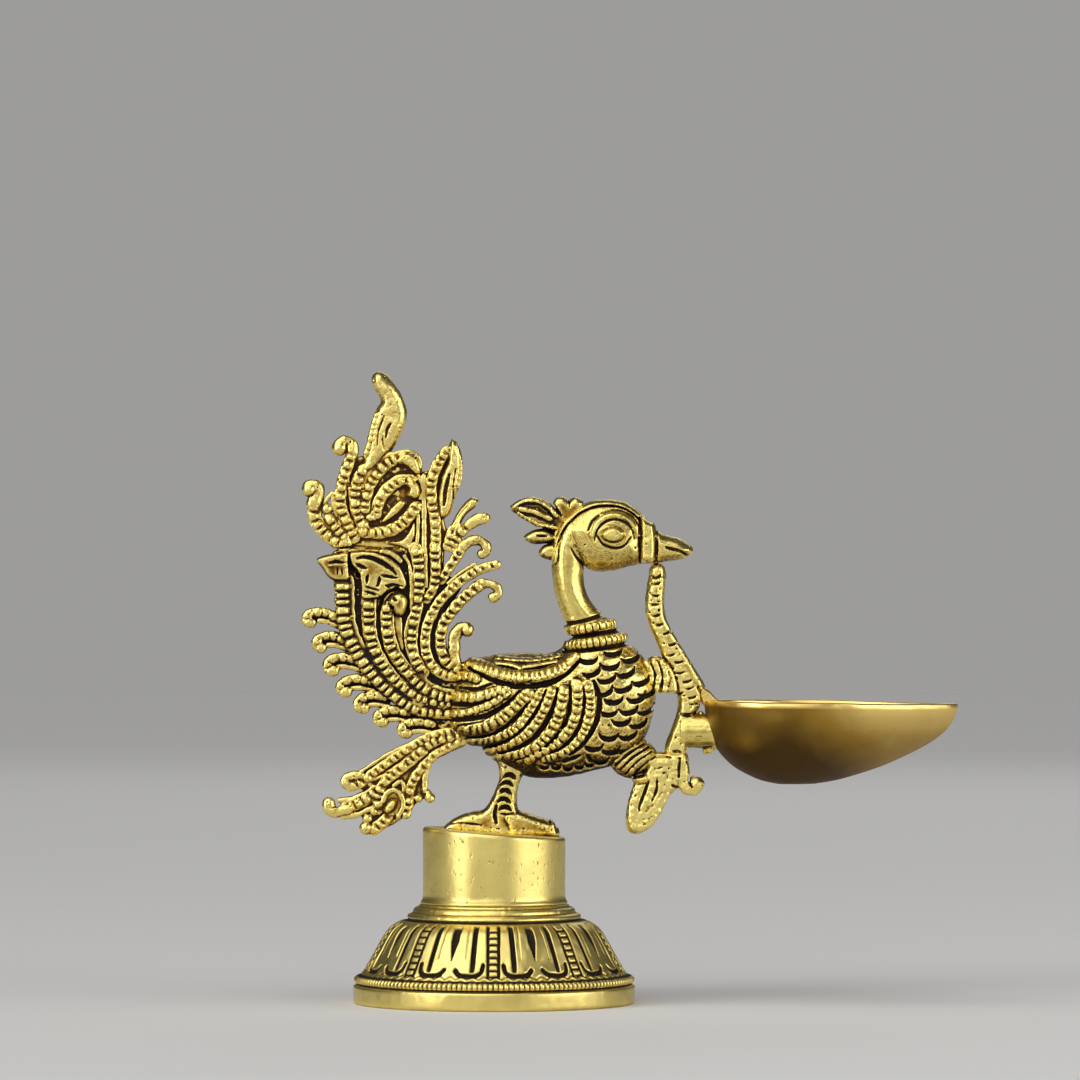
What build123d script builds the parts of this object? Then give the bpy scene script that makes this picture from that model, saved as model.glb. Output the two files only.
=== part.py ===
"""A brass bird oil lamp on a turned pedestal.

Frame: millimetres, +Z up, the origin on the surface that the lamp stands on, at the pedestal's axis.
The bird faces +X and its flat mid-plane is Y = 0.
"""

from build123d import *
import os
from math import cos, pi, radians, sin, sqrt

os.makedirs("parts", exist_ok=True)

# ---- driving dimensions: pedestal ----
RIM_R = 26.3  # vertical rim that the lamp stands on
BEAD_R = 26.6  # crest of the bead ring above the rim
RIM_H = 3.6
SEAT_Z = 18.7  # level seam where the drum stands on the foot
SEAT_R = 13.9
WEB_Z = 15.7  # underside of the foot's top web
SPIGOT_R = 11.4
SPIGOT_TOP = 21.2
SPIGOT_BORE_R = 9.2
RUNNING_GAP = 0.06  # radial clearance of the two turning fits
PETAL_COUNT = 9
PETAL_GROOVE = 0.7  # width of the engraved lines

DRUM_R = 13.35
DRUM_CEILING_Z = 28.6
DRUM_TOP_Z = 32.1  # height of the sloping top on the axis
DRUM_TOP_FALL = 0.075  # the hand-filed top falls this much per millimetre of +X

# ---- driving dimensions: tie rod ----
STUD_R = 2.0
STUD_TOP_Z = 33.6
STUD_END_Z = 9.0
WASHER_R = 5.0
WASHER_T = 1.0
NUT_FLATS = 7.0
NUT_H = 3.2

# ---- driving dimensions: bird and vine ----
FEATHER_W = 2.1  # width of a beaded feather
HOOK_W = 2.0  # width of the hooked feather tips
TAIL_WEB_T = 3.0
TAIL_RIB_T = 5.0
WING_PAD = 0.5
WING_RIB = 1.3
CREST_T = 2.6
VINE_T = 4.2
SOLE_W = 6.4
SOCKET_R = 3.2
SOCKET_Z = 51.0
SOCKET_X = 34.8

# ---- driving dimensions: oil bowl ----
BOWL_WALL = 1.3
BOWL_RIM_Z = 56.9
BOWL_RIM_FALL = 0.0148  # the spout end hangs a little lower than the back
BOWL_BROADEST = 0.38  # where the bowl is broadest, as a share of its length
# level, back of the bowl, end of the spout, half width
BOWL_LEVELS = [
    (41.1, 53.0, 60.0, 2.6),
    (42.4, 48.4, 66.5, 6.2),
    (44.4, 44.8, 72.6, 9.5),
    (47.4, 41.9, 79.2, 12.9),
    (50.4, 40.5, 83.9, 14.9),
    (53.6, 39.7, 86.2, 16.0),
    (57.4, 39.2, 87.1, 16.6),
]


def side(x, z, direction_deg):
    """A section plane across a limb: at (x, z) on the mid-plane, facing the way the limb runs."""
    a = radians(direction_deg)
    return Plane(origin=(x, 0, z), x_dir=(-sin(a), 0, cos(a)), z_dir=(cos(a), 0, sin(a)))


def limb(sections):
    """A round casting through elliptical sections (x, z, direction, half height, half thickness)."""
    with BuildPart() as body:
        for x, z, direction, half_height, half_thickness in sections:
            with BuildSketch(side(x, z, direction)):
                Ellipse(half_height, half_thickness)
        loft()
    return body.part


def ribs(strokes, knobs, thickness):
    """Feathers of the flat castings: lines drawn with a width, rounded at the tip, and round knobs."""
    with BuildPart() as body:
        for width, points in strokes:
            with BuildSketch(Plane.XZ):
                with BuildLine() as run:
                    Spline(*points)
                trace(run.edges(), line_width=width)
                with Locations(points[-1]):
                    Circle(width / 2)
            extrude(amount=thickness / 2, both=True)
        for x, z, radius in knobs:
            with BuildSketch(Plane.XZ):
                with Locations((x, z)):
                    Circle(radius)
            extrude(amount=thickness / 2 + 0.2, both=True)
    return body.part


def web(points, thickness, smooth=False):
    """A flat piece in the mid-plane with a straight-sided or a smooth outline."""
    with BuildPart() as body:
        with BuildSketch(Plane.XZ):
            with BuildLine():
                if smooth:
                    Spline(*points, periodic=True)
                else:
                    Polyline(*points, close=True)
            make_face()
        extrude(amount=thickness / 2, both=True)
    return body.part


def joined(pieces, cut_by=()):
    """One solid from overlapping pieces, cut to fit flush against its neighbours."""
    with BuildPart() as body:
        for piece in pieces:
            add(piece)
        for neighbour in cut_by:
            add(neighbour, mode=Mode.SUBTRACT)
        whole = body.solids().sort_by(SortBy.VOLUME)[-1]
    return whole


def save(part, name):
    part.label = name
    export_step(part, f"parts/{name}.step")


# ---- one engraved petal: a slit and two flanks that meet below it, sunk square to the flare ----
with BuildPart() as petal:
    with BuildSketch(Plane(origin=(22.6, 0, 9.6), x_dir=(0, 1, 0), z_dir=(0.83, 0, 0.56))):
        SlotCenterToCenter(5.0, PETAL_GROOVE + 0.5, rotation=90)
        for hand in (-1, 1):
            with BuildLine() as flank:
                Spline(
                    (hand * 4.2, 5.0), (hand * 4.9, 1.5), (hand * 4.6, -2.5), (hand * 2.7, -4.1), (hand * 0.5, -2.6)
                )
            trace(flank.edges(), line_width=PETAL_GROOVE)
    extrude(amount=3, both=True)
    with BuildSketch(Plane.XZ) as skin:
        with BuildLine():
            Polyline((27, 6.4), (23.9, 6.4), (22.4, 8.6), (20.9, 11.2), (18.5, 14.2), (27, 14.2), close=True)
        make_face()
    revolve(axis=Axis.Z, mode=Mode.INTERSECT)

# ---- pedestal foot: a flared shell with a seat for the drum and a web for the tie rod ----
with BuildPart() as pedestal_foot:
    with BuildSketch(Plane.XZ):
        with BuildLine():
            rim = Line((24.2, 0), (RIM_R - 0.3, 0))
            wall = Line(rim @ 1, (RIM_R, RIM_H))
            bead = ThreePointArc(wall @ 1, (BEAD_R, RIM_H + 0.9), (25.2, RIM_H + 2.0))
            flare = Spline(bead @ 1, (23.9, 7.5), (22.3, 9.9), (20.0, 13.7), (16.9, 15.9))
            step = Line(flare @ 1, (15.6, 16.6))
            cove = ThreePointArc(step @ 1, (14.5, 17.4), (SEAT_R, 18.3))
            Polyline(
                cove @ 1,
                (SEAT_R, SEAT_Z),
                (SPIGOT_R, SEAT_Z),
                (SPIGOT_R, SPIGOT_TOP),
                (SPIGOT_BORE_R, SPIGOT_TOP),
                (SPIGOT_BORE_R, SEAT_Z),
                (STUD_R + RUNNING_GAP, SEAT_Z),
                (STUD_R + RUNNING_GAP, WEB_Z),
                (12.5, WEB_Z),
            )
            Spline((12.5, WEB_Z), (18.2, 12.4), (20.6, 8.6), (22.8, 3.8), rim @ 0)
        make_face()
    revolve(axis=Axis.Z)
    for k in range(PETAL_COUNT):
        add(petal.part.rotate(Axis.Z, 90 + 360 / PETAL_COUNT * k), mode=Mode.SUBTRACT)
save(pedestal_foot.part, "pedestal_foot")

# ---- drum: an upturned cup whose top was filed at a slope ----
with BuildPart() as pedestal_drum:
    with BuildSketch(Plane.XZ):
        with BuildLine():
            lip = Line((DRUM_R + 0.45, SEAT_Z), (DRUM_R + 0.45, SEAT_Z + 0.3))
            flick = Spline(lip @ 1, (DRUM_R + 0.12, SEAT_Z + 0.6), (DRUM_R, SEAT_Z + 1.3))
            Polyline(
                flick @ 1,
                (DRUM_R, DRUM_TOP_Z + 2.0),
                (STUD_R, DRUM_TOP_Z + 2.0),
                (STUD_R, DRUM_CEILING_Z),
                (SPIGOT_R + RUNNING_GAP, DRUM_CEILING_Z),
                (SPIGOT_R + RUNNING_GAP, SEAT_Z),
                lip @ 0,
            )
        make_face()
    revolve(axis=Axis.Z)
    split(bisect_by=Plane(origin=(0, 0, DRUM_TOP_Z), z_dir=(DRUM_TOP_FALL, 0, 1)), keep=Keep.BOTTOM)
    chamfer(pedestal_drum.faces().sort_by(Axis.Z)[-1].edges().sort_by(SortBy.LENGTH)[-1], 0.3)
save(pedestal_drum.part, "pedestal_drum")

# ---- tie rod, washer and nut ----
with BuildPart() as tie_stud:
    with BuildSketch(Plane.XY.offset(STUD_END_Z)):
        Circle(STUD_R)
    extrude(amount=STUD_TOP_Z - STUD_END_Z)
    chamfer(tie_stud.edges().group_by(Axis.Z)[0], 0.5)
save(tie_stud.part, "tie_stud")

with BuildPart() as tie_washer:
    with BuildSketch(Plane.XY.offset(WEB_Z - WASHER_T)):
        Circle(WASHER_R)
        Circle(STUD_R + RUNNING_GAP, mode=Mode.SUBTRACT)
    extrude(amount=WASHER_T)
save(tie_washer.part, "tie_washer")

with BuildPart() as tie_nut:
    with BuildSketch(Plane.XY.offset(WEB_Z - WASHER_T - NUT_H)):
        RegularPolygon(NUT_FLATS / 2, 6, major_radius=False)
        Circle(STUD_R, mode=Mode.SUBTRACT)
    extrude(amount=NUT_H)
save(tie_nut.part, "tie_nut")

# ---- bird: torso, and the folded wing as feather ribs on a thin pad on each side ----
TORSO = [
    (-8.5, 55.2, 0, 3.6, 2.2),
    (-5.5, 56.0, 0, 6.4, 3.6),
    (-1.0, 55.9, 0, 8.9, 5.4),
    (5.0, 54.8, 0, 10.7, 7.0),
    (11.0, 54.4, 0, 11.7, 7.9),
    (17.0, 55.3, 0, 11.9, 8.1),
    (22.0, 56.2, 0, 11.0, 7.5),
    (26.0, 56.9, 0, 8.6, 6.0),
    (28.4, 57.0, 0, 5.6, 3.9),
    (29.5, 57.0, 0, 2.8, 2.0),
]
WING = [
    [(-5.0, 51.0), (-1.0, 52.0), (3.0, 55.0), (6.5, 58.3)],
    [(-4.0, 48.9), (0.0, 49.5), (4.0, 51.5), (7.0, 55.3), (8.8, 58.8)],
    [(-0.5, 47.2), (3.5, 48.8), (7.2, 51.8), (9.5, 56.0), (10.3, 58.8)],
    [(2.0, 46.1), (5.3, 46.8), (9.0, 49.5), (11.8, 53.8), (13.0, 58.8)],
    [(6.5, 45.6), (11.5, 48.8), (14.5, 52.5), (15.5, 58.0), (15.3, 60.0)],
    [(8.5, 45.4), (13.5, 47.3), (17.0, 51.0), (18.2, 56.0), (17.4, 60.3)],
]
WING_OUTLINE = [
    (-5.5, 50.0), (0.0, 46.4), (5.5, 44.8), (11.0, 45.0), (16.5, 48.0), (19.2, 53.0),
    (19.4, 58.0), (17.2, 61.2), (12.0, 60.4), (6.0, 59.6), (0.5, 57.0), (-4.0, 53.5),
]
torso = limb(TORSO)
save(torso, "bird_torso")


def grown(amount):
    """The torso with every section larger by the same amount."""
    return limb([(x, z, d, h + amount, t + amount) for x, z, d, h, t in TORSO])


def wing(hand):
    """A wing on one side: the pad and the ribs follow the torso's curve."""
    with BuildPart() as pad:
        with BuildSketch(Plane.XZ):
            with BuildLine():
                Spline(*WING_OUTLINE, periodic=True)
            make_face()
        extrude(amount=12 * -hand)
        add(grown(WING_PAD), mode=Mode.INTERSECT)
    with BuildPart() as feathers:
        with BuildSketch(Plane.XZ):
            for points in WING:
                with BuildLine() as run:
                    Spline(*points)
                trace(run.edges(), line_width=FEATHER_W * 0.8)
        extrude(amount=12 * -hand)
        add(grown(WING_RIB), mode=Mode.INTERSECT)
    return joined([pad.part, feathers.part], [torso])


wing_near = wing(-1)
wing_far = wing(1)
save(wing_near, "wing_near")
save(wing_far, "wing_far")

# ---- bird: neck and head ----
neck = limb(
    [
        (19.2, 66.6, 97, 5.2, 5.2),
        (18.8, 69.2, 100, 4.6, 4.7),
        (17.0, 72.2, 106, 3.7, 3.8),
        (14.7, 76.0, 99, 3.1, 3.3),
        (13.9, 80.0, 88, 3.0, 3.3),
        (14.8, 84.0, 74, 3.6, 3.7),
        (17.2, 87.0, 50, 4.2, 4.2),
    ]
)
head = limb(
    [
        (11.9, 86.7, 0, 0.9, 0.7),
        (13.2, 86.9, 0, 3.2, 2.6),
        (16.0, 87.3, 0, 5.1, 4.0),
        (19.5, 87.5, 0, 6.5, 4.8),
        (23.0, 87.5, 0, 6.4, 4.8),
        (26.0, 87.1, 0, 5.2, 4.2),
        (28.2, 86.6, 0, 3.9, 3.5),
        (30.5, 85.8, 0, 2.9, 2.5),
        (33.2, 85.2, 0, 2.1, 1.8),
        (35.6, 84.9, 0, 1.4, 1.2),
        (37.1, 84.7, 0, 0.5, 0.5),
    ]
)
with BuildPart() as eyes:
    with BuildSketch(Plane.XZ):
        with Locations((22.2, 87.8)):
            Ellipse(2.5, 1.5)
    extrude(amount=5.4, both=True)
with BuildPart() as beak_ring:
    with BuildSketch(side(29.0, 86.4, -14)):
        Ellipse(3.75, 3.3)
    extrude(amount=0.9, both=True)
neck_and_head = joined([neck, head, eyes.part, beak_ring.part], [torso])
save(neck_and_head, "neck_and_head")

# ---- bird: two beaded collars round the root of the neck ----
with BuildPart() as collars:
    for x, z, half_length, half_width in ((19.1, 68.0, 5.9, 6.0), (18.4, 70.5, 4.5, 4.9)):
        with BuildSketch(side(x, z, 99)):
            Ellipse(half_length, half_width)
        extrude(amount=0.9, both=True)
    with BuildSketch(side(18.8, 69.2, 99)):
        Ellipse(4.7, 5.0)
    extrude(amount=0.8, both=True)
necklace = joined([collars.part], [torso, neck_and_head])
save(necklace, "necklace")

# ---- bird: crest ----
crest = joined(
    [
        web([(3.0, 92.6), (5.2, 94.4), (8.6, 94.5), (11.2, 93.0), (13.2, 90.8), (12.0, 88.9), (9.5, 88.8),
             (6.5, 90.3)], CREST_T, smooth=True),
        web([(5.7, 87.4), (8.2, 88.6), (11.0, 88.3), (13.0, 87.6), (11.2, 86.2), (8.2, 86.2)], CREST_T, smooth=True),
        web([(8.3, 84.4), (9.5, 85.8), (12.0, 86.6), (12.6, 84.6), (11.0, 83.4), (9.3, 83.4)], CREST_T, smooth=True),
        web([(11.2, 93.6), (12.3, 94.8), (13.9, 94.0), (15.2, 94.9), (16.7, 94.0), (16.5, 92.2), (14.0, 90.0),
             (12.4, 91.4)], CREST_T, smooth=True),
        web([(11.0, 88.5), (12.0, 84.0), (14.5, 84.5), (15.0, 91.5), (12.2, 92.3)], CREST_T),
    ],
    [neck_and_head],
)
save(crest, "crest")

# ---- bird: tail fan, with seven hooked feathers along its back edge ----
tail_fan = joined(
    [
        web([(-5.0, 49.8), (-12.0, 52.8), (-17.5, 55.8), (-21.5, 58.8), (-25.0, 62.8), (-27.6, 67.5), (-29.2, 72.0),
             (-29.5, 78.0), (-32.0, 80.5), (-32.6, 83.2), (-30.5, 84.8), (-10.2, 84.8), (-9.0, 80.0), (-9.5, 76.0),
             (-11.0, 72.0), (-11.2, 68.0), (-10.0, 64.5), (-7.0, 62.8), (-4.0, 63.5), (-1.0, 63.0), (0.0, 56.0)],
            TAIL_WEB_T),
        ribs(
            [
                (FEATHER_W, [(-6.0, 54.0), (-12.5, 54.8), (-17.5, 57.3), (-21.8, 61.0), (-25.2, 65.0), (-27.8, 70.3),
                             (-28.6, 75.0), (-29.0, 80.5)]),
                (FEATHER_W, [(-6.0, 55.3), (-12.0, 56.5), (-17.3, 59.0), (-20.3, 63.0), (-22.8, 67.8), (-23.6, 73.0),
                             (-24.0, 79.5)]),
                (FEATHER_W, [(-3.0, 57.8), (-9.0, 57.2), (-13.5, 59.8), (-17.3, 63.2), (-19.8, 67.5), (-20.5, 74.5)]),
                (FEATHER_W, [(-5.0, 58.9), (-11.0, 60.2), (-14.8, 63.8), (-15.7, 68.0), (-14.6, 74.0), (-14.3, 80.0),
                             (-14.8, 83.8)]),
                (FEATHER_W, [(-3.5, 61.1), (-9.7, 61.9), (-12.6, 65.0), (-12.7, 70.0), (-10.0, 75.6), (-6.0, 79.3),
                             (-2.0, 81.5), (0.6, 82.1)]),
                (FEATHER_W, [(-4.0, 62.9), (-8.0, 63.0), (-10.1, 66.0), (-10.0, 70.0), (-6.8, 75.0), (-3.2, 77.8),
                             (-0.6, 78.5), (0.9, 77.0), (0.4, 75.7)]),
                (2.4, [(-7.2, 63.5), (-7.5, 67.0), (-7.2, 69.6), (-5.6, 71.0), (-4.7, 69.9)]),
                (FEATHER_W, [(-12.0, 73.0), (-10.6, 77.0), (-8.8, 80.8), (-6.6, 84.2), (-4.0, 86.4), (-1.8, 86.2),
                             (-1.2, 84.8)]),
                (HOOK_W, [(-28.3, 70.0), (-30.5, 72.4), (-33.0, 73.2)]),
                (HOOK_W, [(-27.0, 66.8), (-29.6, 68.4), (-31.6, 68.8)]),
                (HOOK_W, [(-25.5, 63.6), (-27.6, 64.4), (-29.4, 64.4)]),
                (HOOK_W, [(-23.0, 60.0), (-25.2, 60.8), (-27.0, 60.6)]),
                (HOOK_W, [(-19.6, 57.0), (-21.8, 57.7), (-23.6, 57.4)]),
                (HOOK_W, [(-15.0, 54.2), (-17.8, 54.9), (-20.0, 54.5)]),
                (HOOK_W, [(-10.5, 52.3), (-13.4, 52.8), (-15.6, 52.2)]),
            ],
            [
                (-17.5, 74.5, 1.9),
                (-34.4, 72.4, 1.6),
                (-32.6, 67.9, 1.6),
                (-30.6, 63.6, 1.6),
                (-28.1, 59.7, 1.6),
                (-24.8, 56.6, 1.6),
                (-21.1, 53.7, 1.6),
                (-16.7, 51.6, 1.5),
            ],
            TAIL_RIB_T,
        ),
        web([(-33.2, 83.4), (-31.0, 84.6), (-27.4, 84.4), (-27.2, 80.2), (-30.0, 79.2), (-32.0, 80.8)], TAIL_RIB_T),
        web([(-27.0, 83.6), (-22.0, 84.3), (-18.5, 82.3), (-16.7, 79.3), (-16.2, 76.6), (-18.5, 78.6), (-20.5, 80.7),
             (-24.0, 81.5)], TAIL_RIB_T),
    ],
    [torso, wing_near, wing_far],
)
save(tail_fan, "tail_fan")

# ---- bird: the plumes that stand on the tail fan ----
tail_plumes = joined(
    [
        web([(-30.0, 84.8), (-29.5, 90.0), (-27.5, 95.0), (-26.3, 100.0), (-24.3, 102.5), (-18.6, 103.0),
             (-15.6, 101.0), (-14.6, 98.8), (-12.5, 99.0), (-10.5, 96.0), (-10.2, 90.0), (-7.0, 87.5), (-8.5, 84.8)],
            TAIL_WEB_T),
        ribs(
            [
                (3.4, [(-24.0, 88.0), (-23.6, 95.0), (-22.3, 101.0), (-20.8, 107.0)]),
                (HOOK_W, [(-27.0, 87.5), (-28.3, 92.0), (-28.0, 98.0), (-27.0, 103.0)]),
                (HOOK_W, [(-28.5, 85.8), (-32.3, 88.4), (-33.8, 92.0), (-33.2, 95.0)]),
                (HOOK_W, [(-27.5, 87.2), (-30.3, 89.6), (-31.3, 92.6)]),
                (FEATHER_W, [(-24.3, 92.0), (-22.8, 98.3), (-19.5, 101.6), (-16.2, 102.2), (-14.9, 101.0)]),
                (FEATHER_W, [(-21.8, 91.5), (-20.6, 95.4), (-17.4, 97.4)]),
                (FEATHER_W, [(-26.5, 88.4), (-20.0, 88.4), (-16.8, 90.4), (-14.6, 93.0)]),
                (FEATHER_W, [(-10.9, 84.9), (-11.2, 90.0), (-12.0, 96.0), (-10.6, 101.0), (-8.8, 104.0)]),
                (2.2, [(-8.7, 85.5), (-7.6, 89.6), (-5.8, 92.6), (-3.9, 93.8)]),
                (2.0, [(-7.9, 86.2), (-6.0, 88.7), (-3.6, 90.5), (-1.9, 90.8)]),
            ],
            [(-28.3, 104.4, 1.9), (-34.2, 96.6, 1.7), (-15.7, 96.5, 1.9)],
            TAIL_RIB_T,
        ),
        web([(-22.6, 103.5), (-22.8, 108.5), (-20.9, 112.8), (-22.6, 116.6), (-21.6, 118.3), (-19.6, 117.1),
             (-17.6, 114.4), (-16.5, 111.3), (-16.8, 108.4), (-18.4, 105.6), (-19.0, 102.6)], TAIL_RIB_T * 0.8,
            smooth=True),
        web([(-10.2, 91.8), (-10.9, 95.5), (-9.8, 101.0), (-7.9, 105.8), (-6.3, 103.4), (-6.0, 99.8), (-7.0, 95.2),
             (-8.4, 92.0)], TAIL_RIB_T * 0.8, smooth=True),
    ],
    [tail_fan],
)
save(tail_plumes, "tail_plumes")

# ---- bird: lower plume ----
lower_plume = joined(
    [
        web([(-4.5, 49.2), (-5.0, 51.2), (-10.0, 50.9), (-17.0, 47.6), (-24.0, 43.6), (-27.0, 41.0), (-24.5, 39.0),
             (-25.5, 37.6), (-24.4, 35.4), (-23.0, 32.6), (-20.0, 33.0), (-16.5, 35.4), (-14.2, 37.8),
             (-12.2, 39.5), (-12.2, 45.0), (-9.0, 47.2)], TAIL_WEB_T),
        ribs(
            [
                (FEATHER_W, [(-5.0, 50.6), (-10.5, 50.2), (-16.5, 47.4), (-22.5, 43.6), (-26.6, 40.9), (-27.7, 42.0),
                             (-26.6, 42.9)]),
                (FEATHER_W, [(-6.0, 50.0), (-12.0, 48.2), (-16.5, 45.0), (-20.4, 41.5), (-21.7, 38.4), (-20.6, 36.2)]),
                (FEATHER_W, [(-5.5, 49.6), (-10.5, 47.0), (-14.8, 42.5), (-16.0, 38.6), (-16.4, 36.2)]),
                (FEATHER_W, [(-22.0, 39.2), (-25.0, 37.4), (-28.5, 36.2), (-31.0, 36.9)]),
                (HOOK_W, [(-11.8, 45.6), (-12.6, 42.0), (-12.2, 38.8)]),
            ],
            [(-23.6, 33.0, 1.5), (-19.2, 37.4, 1.5), (-30.9, 37.0, 1.5)],
            TAIL_RIB_T,
        ),
    ],
    [torso, wing_near, wing_far, tail_fan],
)
save(lower_plume, "lower_plume")

# ---- bird: standing leg with its foot on the drum ----
leg = limb(
    [
        (3.2, 47.5, -90, 3.4, 3.2),
        (3.0, 44.0, -90, 2.7, 2.5),
        (2.7, 40.5, -90, 2.0, 2.1),
        (2.7, 36.8, -90, 1.9, 2.0),
        (2.7, 33.0, -90, 2.0, 2.2),
    ]
)
sole = web(
    [(-9.0, 31.0), (-9.2, 33.4), (-6.5, 35.0), (-2.5, 35.9), (0.5, 39.0), (1.6, 38.6), (2.4, 36.4), (5.0, 35.5),
     (8.0, 34.8), (10.6, 34.2), (12.2, 33.0), (12.3, 31.0)], SOLE_W
)
standing_leg = joined([leg, sole], [torso, wing_near, wing_far, pedestal_drum.part, tie_stud.part])
save(standing_leg, "standing_leg")

# ---- bird: raised leg, which grips the vine's leaf ----
raised_leg = joined(
    [
        limb(
            [
                (22.0, 50.0, -50, 3.6, 3.4),
                (24.6, 46.9, -50, 3.3, 3.1),
                (27.2, 43.9, -52, 2.7, 2.7),
                (28.6, 42.1, -60, 1.9, 2.4),
            ]
        )
    ],
    [torso, wing_near, wing_far],
)
save(raised_leg, "raised_leg")

# ---- vine: leaf with its curl, and the stem that carries the bowl's socket ----
vine_leaf = joined(
    [
        web([(29.6, 46.9), (32.4, 47.2), (34.8, 46.6), (35.0, 43.0), (34.5, 40.2), (32.6, 38.0), (30.6, 34.4),
             (28.4, 32.2), (26.4, 31.7), (24.9, 33.2), (24.9, 36.2), (25.6, 39.4), (27.2, 42.4), (28.4, 45.2)],
            VINE_T, smooth=True),
        ribs([(2.2, [(34.6, 46.6), (35.4, 43.6), (35.6, 41.0), (37.0, 40.0), (38.2, 41.2)])], [(38.0, 41.2, 1.3)],
             VINE_T * 0.8),
    ],
    [raised_leg],
)
save(vine_leaf, "vine_leaf")

with BuildPart() as bowl_socket:
    with BuildSketch(Plane.YZ.offset(SOCKET_X)):
        with Locations((0, SOCKET_Z)):
            Circle(SOCKET_R)
    extrude(amount=10)

vine_stem = joined(
    [
        web([(30.3, 82.9), (29.1, 81.4), (28.9, 79.4), (28.4, 76.2), (28.6, 72.6), (30.0, 68.4), (31.8, 64.2),
             (33.4, 60.4), (34.4, 57.0), (34.0, 53.6), (32.7, 50.2), (32.0, 47.6), (33.4, 46.0), (35.4, 46.2),
             (36.2, 48.4), (37.4, 52.0), (38.7, 55.4), (39.6, 58.8), (38.0, 62.0), (35.8, 65.8), (33.3, 70.0),
             (32.0, 74.0), (32.1, 78.0), (32.0, 81.6)], VINE_T, smooth=True),
        web([(28.0, 64.4), (31.8, 65.2), (34.5, 62.0), (34.6, 57.4), (31.4, 58.6), (28.0, 58.4)], VINE_T * 0.9),
    ],
    [torso, neck_and_head, vine_leaf, raised_leg, bowl_socket.part],
)
save(vine_stem, "vine_stem")


def bowl_plan(back, tip, half_width):
    """The bowl's outline at one level: round at the back, drawn out to a blunt spout."""
    outline = []
    for k in range(28):
        a = 2 * pi * k / 28
        share = (1 - cos(a)) / 2
        if share < BOWL_BROADEST:
            breadth = sqrt(1 - ((BOWL_BROADEST - share) / BOWL_BROADEST) ** 2)
        else:
            breadth = cos((share - BOWL_BROADEST) / (1 - BOWL_BROADEST) * pi / 2)
        hand = 1 if a < pi else -1
        outline.append((back + share * (tip - back), hand * half_width * breadth))
    return outline


def bowl_form(levels):
    """The solid inside a stack of plan outlines."""
    with BuildPart() as form:
        for z, back, tip, half_width in levels:
            with BuildSketch(Plane.XY.offset(z)):
                with BuildLine():
                    Spline(*bowl_plan(back, tip, half_width), periodic=True)
                make_face()
        loft()
    return form.part


# ---- oil bowl ----
bowl_outside = bowl_form(BOWL_LEVELS)
bowl_inside = bowl_form(
    [(z + BOWL_WALL, b + BOWL_WALL, t - BOWL_WALL * 1.3, w - BOWL_WALL) for z, b, t, w in BOWL_LEVELS]
)
with BuildPart() as oil_bowl:
    add(bowl_outside)
    add(bowl_inside, mode=Mode.SUBTRACT)
    split(
        bisect_by=Plane(origin=(39.3, 0, BOWL_RIM_Z), z_dir=(BOWL_RIM_FALL, 0, 1)),
        keep=Keep.BOTTOM,
    )
    add(web([(38.4, 59.0), (40.0, 59.1), (41.8, 57.0), (40.5, 55.8), (39.3, 55.8), (38.6, 56.6)], 3.0))
    add(vine_stem, mode=Mode.SUBTRACT)
save(oil_bowl.part, "oil_bowl")

socket = joined([bowl_socket.part], [bowl_outside])
save(socket, "bowl_socket")
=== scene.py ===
from math import cos, pi, radians, sin

import bpy
import numpy as np
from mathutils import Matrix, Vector


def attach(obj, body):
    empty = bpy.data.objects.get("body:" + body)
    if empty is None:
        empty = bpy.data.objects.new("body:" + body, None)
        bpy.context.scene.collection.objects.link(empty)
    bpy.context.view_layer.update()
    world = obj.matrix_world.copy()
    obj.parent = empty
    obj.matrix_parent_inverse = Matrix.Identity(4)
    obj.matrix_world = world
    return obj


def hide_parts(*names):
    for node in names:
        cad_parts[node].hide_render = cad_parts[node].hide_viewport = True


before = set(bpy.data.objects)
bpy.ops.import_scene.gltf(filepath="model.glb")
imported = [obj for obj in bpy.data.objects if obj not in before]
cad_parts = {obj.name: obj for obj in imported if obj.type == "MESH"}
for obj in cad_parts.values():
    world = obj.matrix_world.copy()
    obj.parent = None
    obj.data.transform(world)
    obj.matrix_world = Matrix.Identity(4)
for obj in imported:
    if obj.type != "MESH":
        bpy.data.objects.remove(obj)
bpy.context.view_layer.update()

# Lengths in this script are millimetres in the CAD frame; meshes are written in metres.
MM = 0.001
STEP = 0.15  # grid pitch of the cast pieces
FAR = 2.0  # distances beyond this aren't kept
NEAR_BLUR = 0.3  # how far round a place the recess attribute looks, for fine grooves
WIDE_BLUR = 0.8  # and for broad ones


# ---------------------------------------------------------------- lines in the bird's mid-plane
def smooth_line(points, closed=False, pitch=0.45):
    """A Catmull-Rom curve through points (x, z), as short chords."""
    p = np.array(points, float)
    p = np.vstack([p[-1], p, p[:2]]) if closed else np.vstack([2 * p[0] - p[1], p, 2 * p[-1] - p[-2]])
    out = []
    for a, b, c, d in zip(p[:-3], p[1:-2], p[2:-1], p[3:]):
        n = max(2, int(np.hypot(*(c - b)) / pitch))
        t = np.linspace(0, 1, n, endpoint=False)[:, None]
        out.append(0.5 * (2 * b + (c - a) * t + (2 * a - 5 * b + 4 * c - d) * t**2
                          + (3 * b - a - 3 * c + d) * t**3))
    out.append(p[-2][None])
    return np.vstack(out)


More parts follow.
